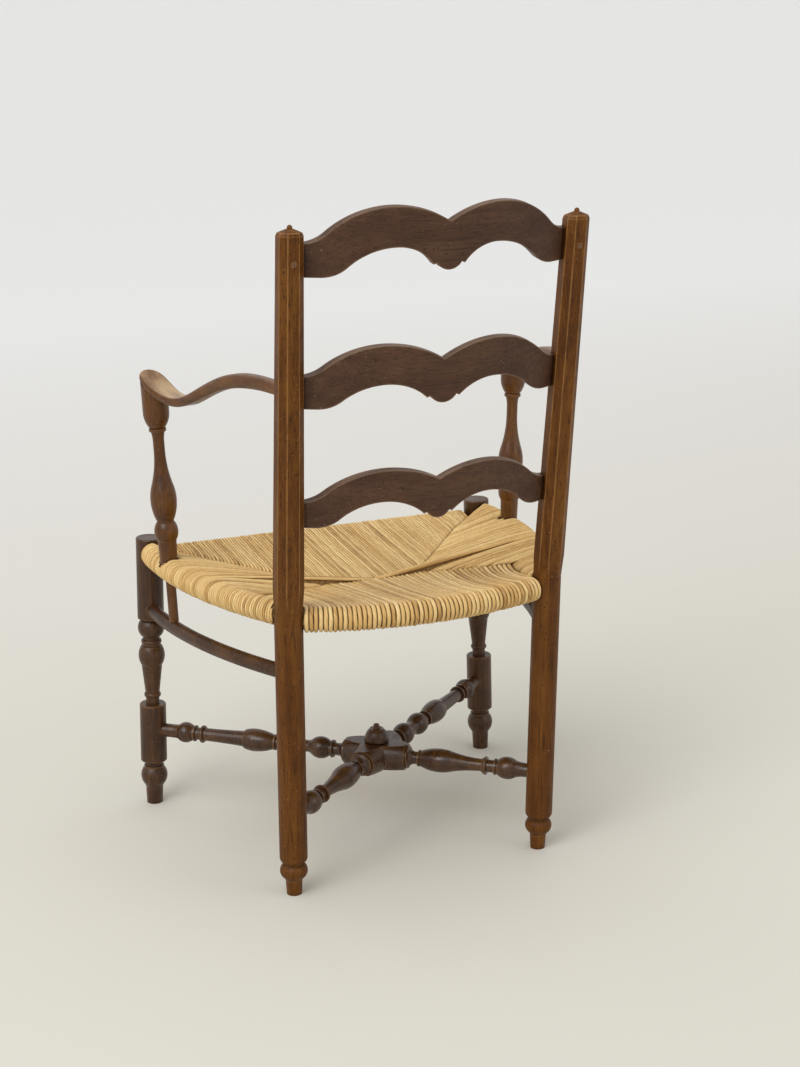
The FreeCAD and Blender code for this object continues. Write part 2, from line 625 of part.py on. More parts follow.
class Bow:
    """A member bent to an arc from one post to another, through a third point."""

    def __init__(self, name, start, end, through):
        self.name = name
        chord = (end - start).Length
        along = (end - start) / chord
        reach = through - start
        run = reach.dot(along)
        out = reach - along * run
        rise = out.Length
        out = out / rise
        depth = (run ** 2 + rise ** 2 - chord * run) / (2 * rise)
        radius = math.sqrt(chord ** 2 / 4 + depth ** 2)
        centre = start + along * (chord / 2) + out * depth
        self.radius = radius
        self.half_chord = chord / 2
        self.placement = frame(centre, out.cross(along), out)
        self.arc = lay_out(name + "_arc_r", radius)

    def angle(self, suffix, setback):
        """Angle of the arc when both ends stop short of the chord's ends."""
        half = math.asin((self.half_chord - number(setback)) / self.radius)
        return lay_out(f"{self.name}_{suffix}_angle", 2 * math.degrees(half))

    def bar(self, suffix, thickness, setback):
        """A round bar of the given radius along the arc, as one body."""
        body = new_body(f"{self.name}_{suffix}", self.placement)
        self.add_bar(body, suffix, thickness, setback)
        return body

    def add_bar(self, body, suffix, thickness, setback):
        sketch = attached_sketch(body, f"{self.name}_{suffix}_section", "XZ_Plane")
        centre = Vector(self.radius, 0, 0)
        circle = Part.Circle(centre, Vector(0, 0, 1), number(thickness))
        index = sketch.addGeometry(circle)
        constrain(sketch, "PointOnObject", index, 3, -1)
        constrain(sketch, "DistanceX", -1, 1, index, 3, text=self.arc)
        constrain(sketch, "Radius", index, text=thickness)
        bend = body.newObject("PartDesign::Revolution", f"{self.name}_{suffix}_bend")
        bend.Profile = sketch
        bend.ReferenceAxis = (sketch, ["V_Axis"])
        bend.Midplane = True
        bend.setExpression("Angle", bound(self.angle(suffix, setback)))


# Back posts: a round turned lower part, a chamfered square upper part whose
# chamfers die out at the bend, a low pyramid cap and a small ball

foot = post_axis(0)
knee = post_axis(SIZE["post_knee_z"])
post_lower = new_body("post_lower", frame(foot, knee - foot, Vector(1, 0, 0)))
lay_out("post_lower_length", (knee - foot).Length)
turned(post_lower, "post_turning", "post_peg_r", [
    ("line", "post_peg_h + floor_trim", "post_peg_top_r"),
    ("line", "post_flare_h", "post_bulb_end_r"),
    ("bead", "post_bulb_h", "post_bulb_end_r", "post_bulb_bulge"),
    ("step", None, "post_groove_r"),
    ("line", "post_groove_h", "post_groove_r"),
    ("step", None, "post_shoulder_r"),
    ("swell", "post_shoulder_h", "post_round_r"),
    ("line", None, "post_round_r"),
], total="post_lower_length + floor_trim", base="0 - floor_trim")

post_upper = new_body("post_upper", Placement(knee, Rotation()))
UPPER = "(post_height - post_knee_z)"


def post_section(name, rise, across, chamfer):
    """Chamfered square across the leaning upper post, level with the floor."""
    half = f"({across}) / 2"
    flat = f"(({across}) / 2 - ({chamfer}))"
    corners = [(half, flat), (flat, half), (f"0 - {flat}", half), (f"0 - {half}", flat),
               (f"0 - {half}", f"0 - {flat}"), (f"0 - {flat}", f"0 - {half}"),
               (flat, f"0 - {half}"), (half, f"0 - {flat}")]
    lean = (f"(post_tip_x - post_knee_x) * ({rise}) / {UPPER}",
            f"(post_tip_y - post_knee_y) * ({rise}) / {UPPER}", rise)
    return outline(post_upper, name, "XY_Plane", corners[0], corners[1:] + corners[:1], lean)


lay_out("bend_near", SIZE["post_bend_r"] * math.cos(math.pi / 8))
lay_out("bend_far", SIZE["post_bend_r"] * math.sin(math.pi / 8))
near, far = "bend_near", "bend_far"
bend_corners = [(near, far), (far, near), (f"0 - {far}", near), (f"0 - {near}", far),
                (f"0 - {near}", f"0 - {far}"), (f"0 - {far}", f"0 - {near}"),
                (far, f"0 - {near}"), (near, f"0 - {far}")]
shaft = post_upper.newObject("PartDesign::AdditiveLoft", "post_shaft")
shaft.Profile = outline(
    post_upper, "section_bend", "XY_Plane", bend_corners[0],
    [corner + ("post_bend_r", 1) for corner in bend_corners[1:] + bend_corners[:1]],
    (f"0 - (post_tip_x - post_knee_x) * post_overlap / {UPPER}",
     f"0 - (post_tip_y - post_knee_y) * post_overlap / {UPPER}", "0 - post_overlap"))
shaft.Sections = [
    post_section("section_stop", "post_stop_rise", "post_square", "post_chamfer"),
    post_section("section_shoulder", f"{UPPER} - cap_drop", "post_square_top",
                 "post_chamfer_top"),
    post_section("section_round", f"{UPPER} - cap_drop + cap_round_rise",
                 "cap_round_square", "cap_round_chamfer"),
    post_section("section_neck", f"{UPPER} - cap_neck_drop", "cap_neck_square",
                 "cap_neck_chamfer"),
]
shaft.Ruled = True
doc.recompute()
ball = post_upper.newObject("PartDesign::AdditiveSphere", "post_ball")
ball.AttachmentSupport = [(origin_plane(post_upper, "XY_Plane"), "")]
ball.MapMode = "FlatFace"
ball.setExpression("Radius", bound("finial_r"))
ball.setExpression("AttachmentOffset.Base.x", bound("post_tip_x - post_knee_x"))
ball.setExpression("AttachmentOffset.Base.y", bound("post_tip_y - post_knee_y"))
ball.setExpression("AttachmentOffset.Base.z", bound(f"{UPPER} - finial_r"))
post_blank = fused("post_blank", [post_lower, post_upper])
post_blank_right = mirrored("post_blank_right", post_blank)

# Front legs

leg_foot = leg_axis(0)
leg_head = leg_axis(SIZE["leg_height"])
leg_blank = new_body("leg_blank", frame(leg_foot, leg_head - leg_foot, Vector(1, 0, 0)))
lay_out("leg_length", (leg_head - leg_foot).Length)
turned(leg_blank, "leg_turning", "leg_peg_r", [
    ("line", "leg_peg_h + floor_trim", "leg_peg_top_r"),
    ("line", "leg_flare_h", "leg_foot_ball_r"),
    ("bead", "leg_foot_ball_h", "leg_fillet_r", "leg_foot_ball_bulge"),
    ("line", "leg_fillet_h", "leg_fillet_r"),
    ("step", None, "leg_groove_r"),
    ("line", "leg_groove_h", "leg_groove_r"),
    ("step", None, "leg_block_r - leg_arris"),
    ("line", "leg_arris", "leg_block_r"),
    ("line", "leg_block_h", "leg_block_r"),
    ("line", "leg_arris", "leg_block_r - leg_arris"),
    ("step", None, "leg_neck_r"),
    ("line", "leg_neck_h", "leg_neck_r"),
    ("step", None, "leg_ring_r"),
    ("bead", "leg_ring_h", "leg_ring_r", "leg_ring_bulge"),
    ("step", None, "leg_cone_r"),
    ("line", "leg_cone_h", "leg_cup_r"),
    ("bead", "leg_cup_h", "leg_cup_r", "leg_cup_bulge"),
    ("step", None, "leg_fine_r"),
    ("line", "leg_fine_h", "leg_fine_r"),
    ("step", None, "leg_fine_ring_r"),
    ("bead", "leg_fine_ring_h", "leg_fine_ring_r", "leg_fine_ring_bulge"),
    ("step", None, "leg_deep_r"),
    ("line", "leg_deep_h", "leg_deep_r"),
    ("step", None, "leg_top_ball_r"),
    ("bead", "leg_top_ball_h", "leg_top_ball_r", "leg_top_ball_bulge"),
    ("line", "leg_under_h", "leg_top_ball_r"),
    ("step", None, "leg_top_r - leg_arris"),
    ("line", "leg_arris", "leg_top_r"),
    ("line", None, "leg_top_r"),
    ("swell", "leg_top_round_h", "leg_top_round_r"),
], total="leg_length + floor_trim", base="0 - floor_trim")

# Seat rails and side stretchers. The side ones bow out through the arm supports.

front_rail_end = leg_axis(SIZE["front_rail_z"])
rear_rail_end = post_axis(LAYOUT["rear_rail_z"]) - Vector(0, SIZE["rear_rail_set"], 0)
rear_rail = Bow("rear_rail", rear_rail_end, mirror_point(rear_rail_end),
                Vector(0, rear_rail_end.y + SIZE["rear_rail_bow"], rear_rail_end.z))


def side_bow(name, front_z, rear_z):
    """Bow from the front leg to the back post, through the arm support's axis."""
    start, end = leg_axis(front_z), post_axis(rear_z)
    level = front_z
    for step in range(4):
        share = (support_axis(level).y - start.y) / (end.y - start.y)
        level = front_z + (rear_z - front_z) * share
    return Bow(name, start, end, support_axis(level)), support_axis(level)


side_rail, rail_pass = side_bow("side_rail", SIZE["side_rail_front_z"],
                                LAYOUT["side_rail_rear_z"])
side_bar, bar_pass = side_bow("side_bar", SIZE["side_bar_front_z"],
                              SIZE["side_bar_rear_z"])

rear_rail_body = rear_rail.bar("rod", "rail_r", "rail_setback")
rear_rail.add_bar(rear_rail_body, "tenon", "rail_tenon_r", "rear_rail_tip_setback")
side_rail_body = side_rail.bar("rod", "rail_r", "rail_setback")
side_rail.add_bar(side_rail_body, "tenon", "rail_tenon_r", "rail_tip_setback")
side_bar_body = side_bar.bar("rod", "side_bar_r", "side_bar_tip_setback")

across = Vector(1, 0, 0)
front_rail_full = front_rail_end - across * SIZE["rail_setback"]
front_rail_tip = front_rail_end - across * SIZE["rail_tip_setback"]
seat_rail_front = fused("seat_rail_front", [
    rod("front_rail_rod", mirror_point(front_rail_full), front_rail_full, "rail_r"),
    rod("front_rail_tenon", mirror_point(front_rail_tip), front_rail_tip, "rail_tenon_r"),
])

SOCKET = "rail_tip_setback - blind_gap"
rear_rail_socket = rear_rail.bar("socket", "rail_tenon_r + fit_gap",
                                 "rear_rail_tip_setback - blind_gap")
side_rail_socket = side_rail.bar("socket", "rail_tenon_r + fit_gap", SOCKET)
side_bar_socket = side_bar.bar("socket", "side_bar_r + fit_gap",
                               "side_bar_tip_setback - blind_gap")
past = across * (SIZE["blind_gap"] - SIZE["rail_tip_setback"])
front_rail_socket = rod("front_rail_socket", mirror_point(front_rail_end + past),
                        front_rail_end + past, "rail_tenon_r + fit_gap")

# Slats: a bent board cut to its outline, with a tenon at each end

UP_BACK = (Vector(0, SIZE["post_tip_y"] - SIZE["post_knee_y"],
                  SIZE["post_height"] - SIZE["post_knee_z"])).normalize()


def slat(name, key):
    """A slat. Returns its frame, its raw board and its tenons."""
    low_z = LAYOUT[key + "_z"]
    middle = post_axis(low_z + SIZE[key + "_end_h"] / 2)
    axis_x = lay_out(f"{key}_axis_x", middle.x)
    chord = f"({axis_x} - post_square_top / 2)"
    mid_r = f"(({chord})^2 + slat_bow^2) / (2 * slat_bow)"
    centre_y = f"(slat_bow - {mid_r})"
    low = post_axis(low_z)
    place = frame(Vector(0, low.y - SIZE["slat_set"], low_z), UP_BACK, Vector(1, 0, 0))
    board = new_body(name + "_board", place)

    end_x = f"({axis_x} - 0.75 * slat_t)"
    outer_r = f"({mid_r} + slat_t / 2)"
    inner_r = f"({mid_r} - slat_t / 2)"
    outer_y = f"({centre_y} + sqrt({outer_r}^2 - ({end_x})^2))"
    inner_y = f"({centre_y} + sqrt({inner_r}^2 - ({end_x})^2))"
    plan = outline(board, name + "_plan", "XY_Plane", (end_x, outer_y), [
        (f"0 - {end_x}", outer_y, outer_r, 1),
        (f"0 - {end_x}", inner_y),
        (end_x, inner_y, inner_r, -1),
        (end_x, outer_y),
    ], ("0", "0", "0 - slat_margin"))
    bent = board.newObject("PartDesign::Pad", name + "_bent")
    bent.Profile = plan
    bent.setExpression("Length", bound(f"{key}_hump_h + 2 * slat_margin"))

    end_h, notch_h = key + "_end_h", key + "_notch_h"
    hump_x, hump_h = key + "_hump_x", key + "_hump_h"
    arch_x, arch_h = key + "_arch_x", key + "_arch_h"
    point_x, point_h, lobe_h = key + "_point_x", key + "_point_h", key + "_lobe_h"
    lobe_x = f"({point_x} - slat_nick_x)"
    root_h = f"({point_h} + slat_nick_z)"
    far_x = f"({axis_x} + slat_t)"
    run, fall = f"({end_x} - {hump_x})", f"({hump_h} - {end_h})"
    swing = f"(({run}^2 + {fall}^2) / (2 * {fall}))"
    turn_x = f"({hump_x} + slat_ogee * {run})"
    turn_h = f"({hump_h} - slat_ogee * {fall})"
    top = outline(board, name + "_top_edge", "XZ_Plane", ("0", notch_h), [
        (hump_x, hump_h, f"({hump_x}^2 + ({hump_h} - {notch_h})^2) / (2 * ({hump_h} - {notch_h}))", -1),
        (turn_x, turn_h, f"slat_ogee * {swing}", -1),
        (end_x, end_h, f"(1 - slat_ogee) * {swing}", 1),
        (far_x, end_h),
        (far_x, f"{hump_h} + slat_margin + 1"),
        ("0", f"{hump_h} + slat_margin + 1"),
        ("0", notch_h),
    ])
    foot_run = f"(slat_flat_x - {arch_x})"
    foot_fall = f"({arch_h} - slat_flat_h)"
    foot_swing = f"(({foot_run}^2 + {foot_fall}^2) / (2 * {foot_fall}))"
    foot_x = f"({arch_x} + arch_ogee * {foot_run})"
    foot_h = f"({arch_h} - arch_ogee * {foot_fall})"
    drop = f"({arch_h} - {point_h})"
    side = f"({arch_x} - {point_x})"
    lobe = f"({root_h} - {lobe_h})"
    under = outline(board, name + "_low_edge", "XZ_Plane", ("0", lobe_h), [
        (lobe_x, root_h, f"({lobe_x}^2 + {lobe}^2) / (2 * {lobe})", 1),
        (point_x, point_h),
        (arch_x, arch_h, f"({side}^2 + {drop}^2) / (2 * {drop})", -1),
        (foot_x, foot_h, f"arch_ogee * {foot_swing}", -1),
        ("slat_flat_x", "slat_flat_h", f"(1 - arch_ogee) * {foot_swing}", 1),
        (far_x, "0"),
        (far_x, "0 - slat_margin - 1"),
        ("0", "0 - slat_margin - 1"),
        ("0", lobe_h),
    ])
    doc.recompute()
    for suffix, edge in (("crest", top), ("arch", under)):
        shaping = board.newObject("PartDesign::Pocket", f"{name}_{suffix}")
        shaping.Profile = edge
        shaping.Type = "ThroughAll"
        shaping.Midplane = True
        doc.recompute()
        twin = board.newObject("PartDesign::Mirrored", f"{name}_{suffix}_twin")
        twin.Originals = [shaping]
        twin.MirrorPlane = (origin_plane(board, "YZ_Plane"), [""])
        board.Tip = twin
        doc.recompute()

    root = f"({axis_x} - slat_tenon_root)"
    tenon_h = f"({end_h} - 2 * slat_tenon_step)"
    reach = "(slat_tenon_root + slat_tenon_past)"
    tenon = slab(name + "_tenon", (reach, "slat_tenon_t", tenon_h), place,
                 (root, "0 - slat_tenon_t / 2", "slat_tenon_step"))
    gap = "fit_gap"
    mortise = slab(name + "_mortise",
                   (f"{reach} + blind_gap", f"slat_tenon_t + 2 * {gap}",
                    f"{tenon_h} + 2 * {gap}"), place,
                   (root, f"0 - slat_tenon_t / 2 - {gap}", f"slat_tenon_step - {gap}"))
    shouldered = cut(name + "_shouldered", board, [post_blank, post_blank_right])
    return fused(name + "_whole", [shouldered, tenon, mirrored(name + "_tenon_twin", tenon)]), mortise


top_slat_whole, top_mortise = slat("top_slat", "top")
middle_slat, middle_mortise = slat("middle_slat", "mid")
bottom_slat, bottom_mortise = slat("bottom_slat", "low")

# Square pegs through the posts and the top slat's tenons

pin_z = LAYOUT["top_z"] + SIZE["top_end_h"] / 2
pin_spot = post_axis(pin_z)
pin_place = frame(pin_spot, UP_BACK, Vector(1, 0, 0))
stop_z = SIZE["post_knee_z"] + SIZE["post_stop_rise"]
share = (pin_z - stop_z) / (SIZE["post_height"] - SIZE["cap_drop"] - stop_z)
lay_out("pin_depth", SIZE["post_square"] + (SIZE["post_square_top"] - SIZE["post_square"]) * share)
pin_tool = slab("pin_hole", ("pin_side", "2 * post_square", "pin_side"), pin_place,
                ("0 - pin_side / 2", "0 - post_square", "0 - pin_side / 2"))
pin_left = slab("pin_left", ("pin_side", "pin_depth + pin_proud", "pin_side"), pin_place,
                ("0 - pin_side / 2", "0 - pin_depth / 2", "0 - pin_side / 2"))
slat_pegs = doc.addObject("Part::Compound", "slat_pegs")
slat_pegs.Links = [pin_left, mirrored("pin_right", pin_left)]
top_slat = cut("top_slat", top_slat_whole, [pin_tool, mirrored("pin_hole_right", pin_tool)])

# Crossed stretchers: one turned blank and its mirror image, halved together

cross_front = leg_axis(SIZE["cross_z"])
cross_rear = mirror_point(post_axis(SIZE["cross_z"]))
hub = cross_front + (cross_rear - cross_front) * (cross_front.x / (cross_front.x - cross_rear.x))
cross_way = (cross_rear - hub).normalize()
cross_place = frame(hub, cross_way, Vector(0, 0, 1))
lay_out("cross_front_length", (cross_front - hub).Length)
lay_out("cross_rear_length", (cross_rear - hub).Length)
cross_blank = new_body("cross_blank", cross_place)
turned(cross_blank, "cross_rear_turning", "hub_mid_r", [
    ("swell", "hub_h", "hub_end_r"),
    ("step", None, "bell_r"),
    ("line", "bell_h", "bell_r"),
    ("hollow", "bell_cove_h", "reel_r"),
    ("line", "rear_reel_h", "reel_r"),
    ("step", None, "collar_r"),
    ("line", "collar_h", "collar_r"),
    ("step", None, "rear_vase_r"),
    ("swell", "rear_vase_low_h", "rear_vase_max_r"),
    ("swell", "rear_vase_mid_h", "rear_vase_mid_r"),
    ("hollow", None, "rear_taper_r"),
    ("step", None, "rear_small_r"),
    ("bead", "rear_small_h", "rear_small_r", "rear_small_bulge"),
    ("step", None, "flange_r"),
    ("bead", "flange_h", "flange_r", "flange_bulge"),
    ("step", None, "reel_r"),
    ("line", "rear_reel2_h", "reel_r"),
    ("step", None, "collar_r"),
    ("line", "collar_h", "collar_r"),
    ("step", None, "nick_r"),
    ("line", "nick_h", "nick_r"),
    ("step", None, "rear_ball_r"),
    ("bead", "rear_ball_h", "rear_ball_r", "rear_ball_bulge"),
    ("hollow", "rear_neck_h", "cross_end_r"),
    ("line", "rear_end_h", "cross_end_r"),
], total="cross_rear_length - cross_tip_setback")
turned(cross_blank, "cross_front_turning", "cross_end_r", [
    ("line", "front_end_h", "cross_end_r"),
    ("hollow", "front_neck_h", "front_ball_r"),
    ("bead", "front_ball_h", "front_ball_r", "front_ball_bulge"),
    ("step", None, "nick_r"),
    ("line", "nick_h", "nick_r"),
    ("step", None, "collar_r"),
    ("line", "collar_h", "collar_r"),
    ("step", None, "reel_r"),
    ("line", "front_reel_h", "reel_r"),
    ("step", None, "flange_r"),
    ("bead", "flange_h", "flange_r", "flange_bulge"),
    ("step", None, "front_taper_r"),
    ("hollow", None, "front_taper_thick_r"),
    ("step", None, "front_vase_step_r"),
    ("swell", "front_vase_step_h", "front_vase_max_r"),
    ("swell", "front_vase_low_h", "front_vase_r"),
    ("step", None, "collar_r"),
    ("line", "collar_h", "collar_r"),
    ("step", None, "front_neck2_r"),
    ("line", "front_neck2_h", "front_neck2_r"),
    ("step", None, "front_twin_r"),
    ("bead", "front_twin_h", "front_twin_r", "front_twin_bulge"),
    ("hollow", "front_twin_cove_h", "front_neck2_r"),
    ("line", "front_twin_neck_h", "front_neck2_r"),
    ("hollow", "front_twin_cove_h", "front_twin_r"),
    ("bead", "front_twin_h", "front_twin_r", "front_twin_bulge"),
    ("step", None, "nick_r"),
    ("line", "front_nick_h", "nick_r"),
    ("step", None, "flange_r"),
    ("bead", "flange_h", "flange_r", "flange_bulge"),
    ("step", None, "reel_r"),
    ("line", "front_reel2_h", "reel_r"),
    ("hollow", "bell_cove_h", "bell_r"),
    ("line", "bell_h", "bell_r"),
    ("step", None, "hub_end_r"),
    ("swell", "hub_h", "hub_mid_r"),
], total="cross_front_length - cross_tip_setback",
    base="cross_tip_setback - cross_front_length")
HUB = "(2 * hub_mid_r)"
hub_flats = [
    slab("hub_flat_top", (HUB, HUB, "2 * hub_h + 4 * bell_h"), cross_place,
         ("hub_top", "0 - hub_mid_r", "0 - hub_h - 2 * bell_h")),
    slab("hub_flat_bottom", (HUB, HUB, "2 * hub_h + 4 * bell_h"), cross_place,
         (f"0 - hub_bottom - {HUB}", "0 - hub_mid_r", "0 - hub_h - 2 * bell_h")),
]
cross_planed = cut("cross_planed", cross_blank, hub_flats)
cross_planed_twin = mirrored("cross_planed_twin", cross_planed)

barrel = new_body("hub_barrel", cross_place)
turned(barrel, "hub_barrel_turning", "hub_end_r + fit_gap", [
    ("swell", "hub_h", "hub_mid_r + fit_gap"),
    ("swell", "hub_h", "hub_end_r + fit_gap"),
], total="2 * hub_h", base="0 - hub_h")
level = Placement(hub, Rotation())
upper_half = slab("hub_upper_half", (f"2 * {HUB}", f"2 * {HUB}", HUB), level,
                  (f"0 - {HUB}", f"0 - {HUB}", "0"))
lower_half = slab("hub_lower_half", (f"2 * {HUB}", f"2 * {HUB}", HUB), level,
                  (f"0 - {HUB}", f"0 - {HUB}", f"0 - {HUB}"))
notch_above = shared("hub_notch_above", [barrel, upper_half])
notch_below = shared("hub_notch_below", [mirrored("hub_barrel_twin", barrel), lower_half])
up = Vector(0, 0, 1)
knob_hole = rod("knob_hole", hub - up * SIZE["hub_mid_r"], hub + up * SIZE["hub_mid_r"],
                "knob_peg_r + fit_gap")
cross_stretcher_upper = cut("cross_stretcher_upper", cross_planed, [notch_below, knob_hole])
cross_stretcher_lower = cut("cross_stretcher_lower", cross_planed_twin,
                            [notch_above, knob_hole])

cross_knob = new_body("cross_knob", Placement(hub - up * SIZE["hub_bottom"], Rotation()))
turned(cross_knob, "knob_turning", "knob_peg_r", [
    ("line", "hub_bottom + hub_top", "knob_peg_r"),
    ("step", None, "knob_base_r"),
    ("line", "knob_flare_h", "knob_max_r"),
    ("swell", "knob_dome_h", "knob_dome_top_r"),
    ("hollow", "knob_neck_h", "knob_nipple_r"),
    ("line", "knob_nipple_h", "knob_nipple_r"),
    ("swell", "knob_crown_h", "knob_crown_r"),
])

reach = SIZE["cross_tip_setback"] - SIZE["blind_gap"]
cross_socket_rear = rod("cross_socket_rear", cross_rear - cross_way * (2 * SIZE["leg_block_r"]),
                        cross_rear - cross_way * reach, "cross_end_r + fit_gap")
cross_socket_front = rod("cross_socket_front", cross_front + cross_way * (2 * SIZE["leg_block_r"]),
                         cross_front + cross_way * reach, "cross_end_r + fit_gap")

# Arms: a loft through rounded sections, scribed to the post

arm_root = post_axis(SIZE["arm_rear_z"])
arm_over = support_axis(SIZE["arm_front_z"])
arm_way = Vector(arm_over.x - arm_root.x, arm_over.y - arm_root.y, 0)
lay_out("arm_length", arm_way.Length)
arm_way.normalize()
arm_place = Placement(arm_root, Rotation(arm_way.cross(up), arm_way, up, "ZYX"))
arm_stock = new_body("arm_stock", arm_place)
lay_out("arm_fall", SIZE["arm_front_z"] - SIZE["arm_rear_z"])


def arm_section(key):
    """Rounded rectangle across the arm at one station."""
    from_post = key in "abc"
    station = f"arm_{key}_s" if from_post else f"(arm_length - arm_{key}_s)"
    middle = f"arm_{key}_z" if from_post else f"(arm_{key}_z + arm_fall)"
    half, thick = f"(arm_{key}_w / 2)", f"(arm_{key}_t / 2)"
    corner = f"(arm_round * arm_{key}_t)"
    out, inn = half, f"({half} - {corner})"
    top, rim = f"({middle} + {thick})", f"({middle} + {thick} - {corner})"
    low, lip = f"({middle} - {thick})", f"({middle} - {thick} + {corner})"
    return outline(arm_stock, f"arm_section_{key}", "XZ_Plane", (out, lip), [
        (out, rim),
        (inn, top, corner, 1),
        (f"0 - {inn}", top),
        (f"0 - {out}", rim, corner, 1),
        (f"0 - {out}", lip),
        (f"0 - {inn}", low, corner, 1),
        (inn, low),
        (out, lip, corner, 1),
    ], ("0", "0", f"0 - {station}"))


sections = [arm_section(key) for key in "abcdefghij"]
sweep = arm_stock.newObject("PartDesign::AdditiveLoft", "arm_sweep")
sweep.Profile = sections[0]
sweep.Sections = sections[1:]

arm_tenon_rod = rod("arm_tenon", arm_root + arm_way * SIZE["arm_tenon_tip"],
                    arm_root + arm_way * (2 * SIZE["post_round_r"]), "arm_tenon_r")
arm_socket = rod("arm_socket", arm_root + arm_way * (SIZE["arm_tenon_tip"] - SIZE["blind_gap"]),
                 arm_root + arm_way * (2 * SIZE["post_round_r"]), "arm_tenon_r + fit_gap")
arm_scribed = cut("arm_scribed", arm_stock, [post_blank])
arm_whole = fused("arm_whole", [arm_scribed, arm_tenon_rod])

# Arm supports: turned, standing on the side stretcher, through the side rail and
# up under the arm, where the cup is cut to the slope of the arm's underside

support_way = (support_axis(SIZE["support_top_z"]) - support_axis(0)).normalize()
support_base = bar_pass - support_way * SIZE["support_tenon_past"]
lay_out("support_pass", (rail_pass - bar_pass).Length)
support_stock = new_body("support_stock", frame(support_base, support_way, Vector(1, 0, 0)))
turned(support_stock, "support_turning", "support_tenon_r", [
    ("line", "support_tenon_past + side_bar_r - support_sink", "support_tenon_r"),
    ("step", None, "support_shank_r"),
    ("line", "support_pass + rail_r + rush_gap - side_bar_r + support_sink",
     "support_shank_r"),
    ("step", None, "support_foot_r"),
    ("line", "support_foot_h", "support_foot_top_r"),
    ("bead", "support_ball_h", "support_ball_top_r", "support_ball_bulge"),
    ("step", None, "support_neck_r"),
    ("line", "support_neck_h", "support_neck_r"),
    ("step", None, "support_vase_r"),
    ("swell", "support_vase_low_h", "support_vase_max_r"),
    ("swell", "support_vase_mid_h", "support_vase_mid_r"),
    ("hollow", "support_vase_top_h", "support_stem_r"),
    ("line", "support_stem_h", "support_stem_r"),
    ("hollow", "support_flare_h", "support_flare_r"),
    ("step", None, "support_ring_r"),
    ("bead", "support_ring_h", "support_ring_r", "support_ring_bulge"),
    ("step", None, "support_cup_low_r"),
    ("swell", "support_cup_low_h", "support_cup_r"),
    ("line", "support_cup_h", "support_cup_r"),
])
under_near = SIZE["arm_h_z"] - SIZE["arm_h_t"] / 2
under_far = SIZE["arm_g_z"] - SIZE["arm_g_t"] / 2
slope = math.atan2(under_near - under_far, SIZE["arm_g_s"] - SIZE["arm_h_s"])
under_spot = Vector(arm_over.x, arm_over.y, SIZE["arm_front_z"] + under_near)
under_spot = under_spot + arm_way * (0 - SIZE["arm_h_s"])
slope_way = arm_way * math.cos(slope) + up * math.sin(slope)
slope_up = up * math.cos(slope) - arm_way * math.sin(slope)
arm_bed = slab("arm_bed", ("4 * support_cup_r", "4 * support_cup_r", "4 * support_cup_h"),
               Placement(under_spot, Rotation(slope_way, slope_up.cross(slope_way), slope_up, "ZXY")),
               ("0 - 2 * support_cup_r", "0 - 2 * support_cup_r", "0 - fit_gap"))
support_fitted = cut("support_fitted", support_stock, [arm_bed])
bed_spot = support_axis(under_spot.z)
head_low = bed_spot - support_way * SIZE["support_cup_r"]
head_top = bed_spot + support_way * SIZE["support_top_tenon_h"]
arm_support_left = fused("arm_support_left", [
    support_fitted, rod("support_top_tenon", head_low, head_top, "support_top_tenon_r")])
arm_mortise = rod("arm_mortise", head_low, head_top + support_way * SIZE["blind_gap"],
                  "support_top_tenon_r + fit_gap")
arm_left = cut("arm_left", arm_whole, [arm_mortise])

support_hole = rod("support_hole", bar_pass, support_axis(SIZE["support_low_z"] + SIZE["rush_r"]),
                   "support_shank_r + fit_gap")
support_socket = rod("support_socket",
                     bar_pass - support_way * (SIZE["support_tenon_past"] + SIZE["blind_gap"]),
                     bar_pass + support_way * (2 * SIZE["side_bar_r"]),
                     "support_tenon_r + fit_gap")
support_seat = rod("support_seat", bar_pass + support_way * (SIZE["side_bar_r"] - SIZE["support_sink"]),
                   bar_pass + support_way * (2 * SIZE["side_bar_r"]),
                   "support_shank_r + fit_gap")

# Finished members, each with its sockets


def below_floor(name, spot):
    """Stock below the floor, under one foot."""
    corner = Vector(spot.x, spot.y, 0) - Vector(1, 1, 2) * (2 * SIZE["leg_block_r"])
    item = doc.addObject("Part::Box", name)
    for side in ("Length", "Width", "Height"):
        item.setExpression(side, bound("4 * leg_block_r"))
    item.Placement = Placement(corner, Rotation())
    return item


cross_socket_rear_left = mirrored("cross_socket_rear_left", cross_socket_rear)
rear_post_left = cut("rear_post_left", post_blank, [
    below_floor("post_floor", foot), top_mortise, middle_mortise, bottom_mortise, pin_tool,
    rear_rail_socket, side_rail_socket, side_bar_socket, arm_socket, cross_socket_rear_left])
front_leg_left = cut("front_leg_left", leg_blank, [
    below_floor("leg_floor", leg_foot), front_rail_socket, side_rail_socket, side_bar_socket,
    cross_socket_front])
seat_rail_left = cut("seat_rail_left", side_rail_body, [support_hole])
side_stretcher_left = cut("side_stretcher_left", side_bar_body, [support_socket, support_seat])

# Rush seat: four fields rolled over the rails and drawn down to a middle band


def rush_section(body, name, rail, height, seam):
    """Section of a field: a roll over the rail, tapering in to the seam."""
    return outline(body, name, "XZ_Plane", (rail, f"{height} + rush_r"), [
        (seam, "rush_seam_top"),
        (seam, "rush_seam_bottom"),
        (rail, f"{height} - rush_r"),
        (f"{rail} + rush_r", height, "rush_r", 1),
        (rail, f"{height} + rush_r", "rush_r", 1),
    ])


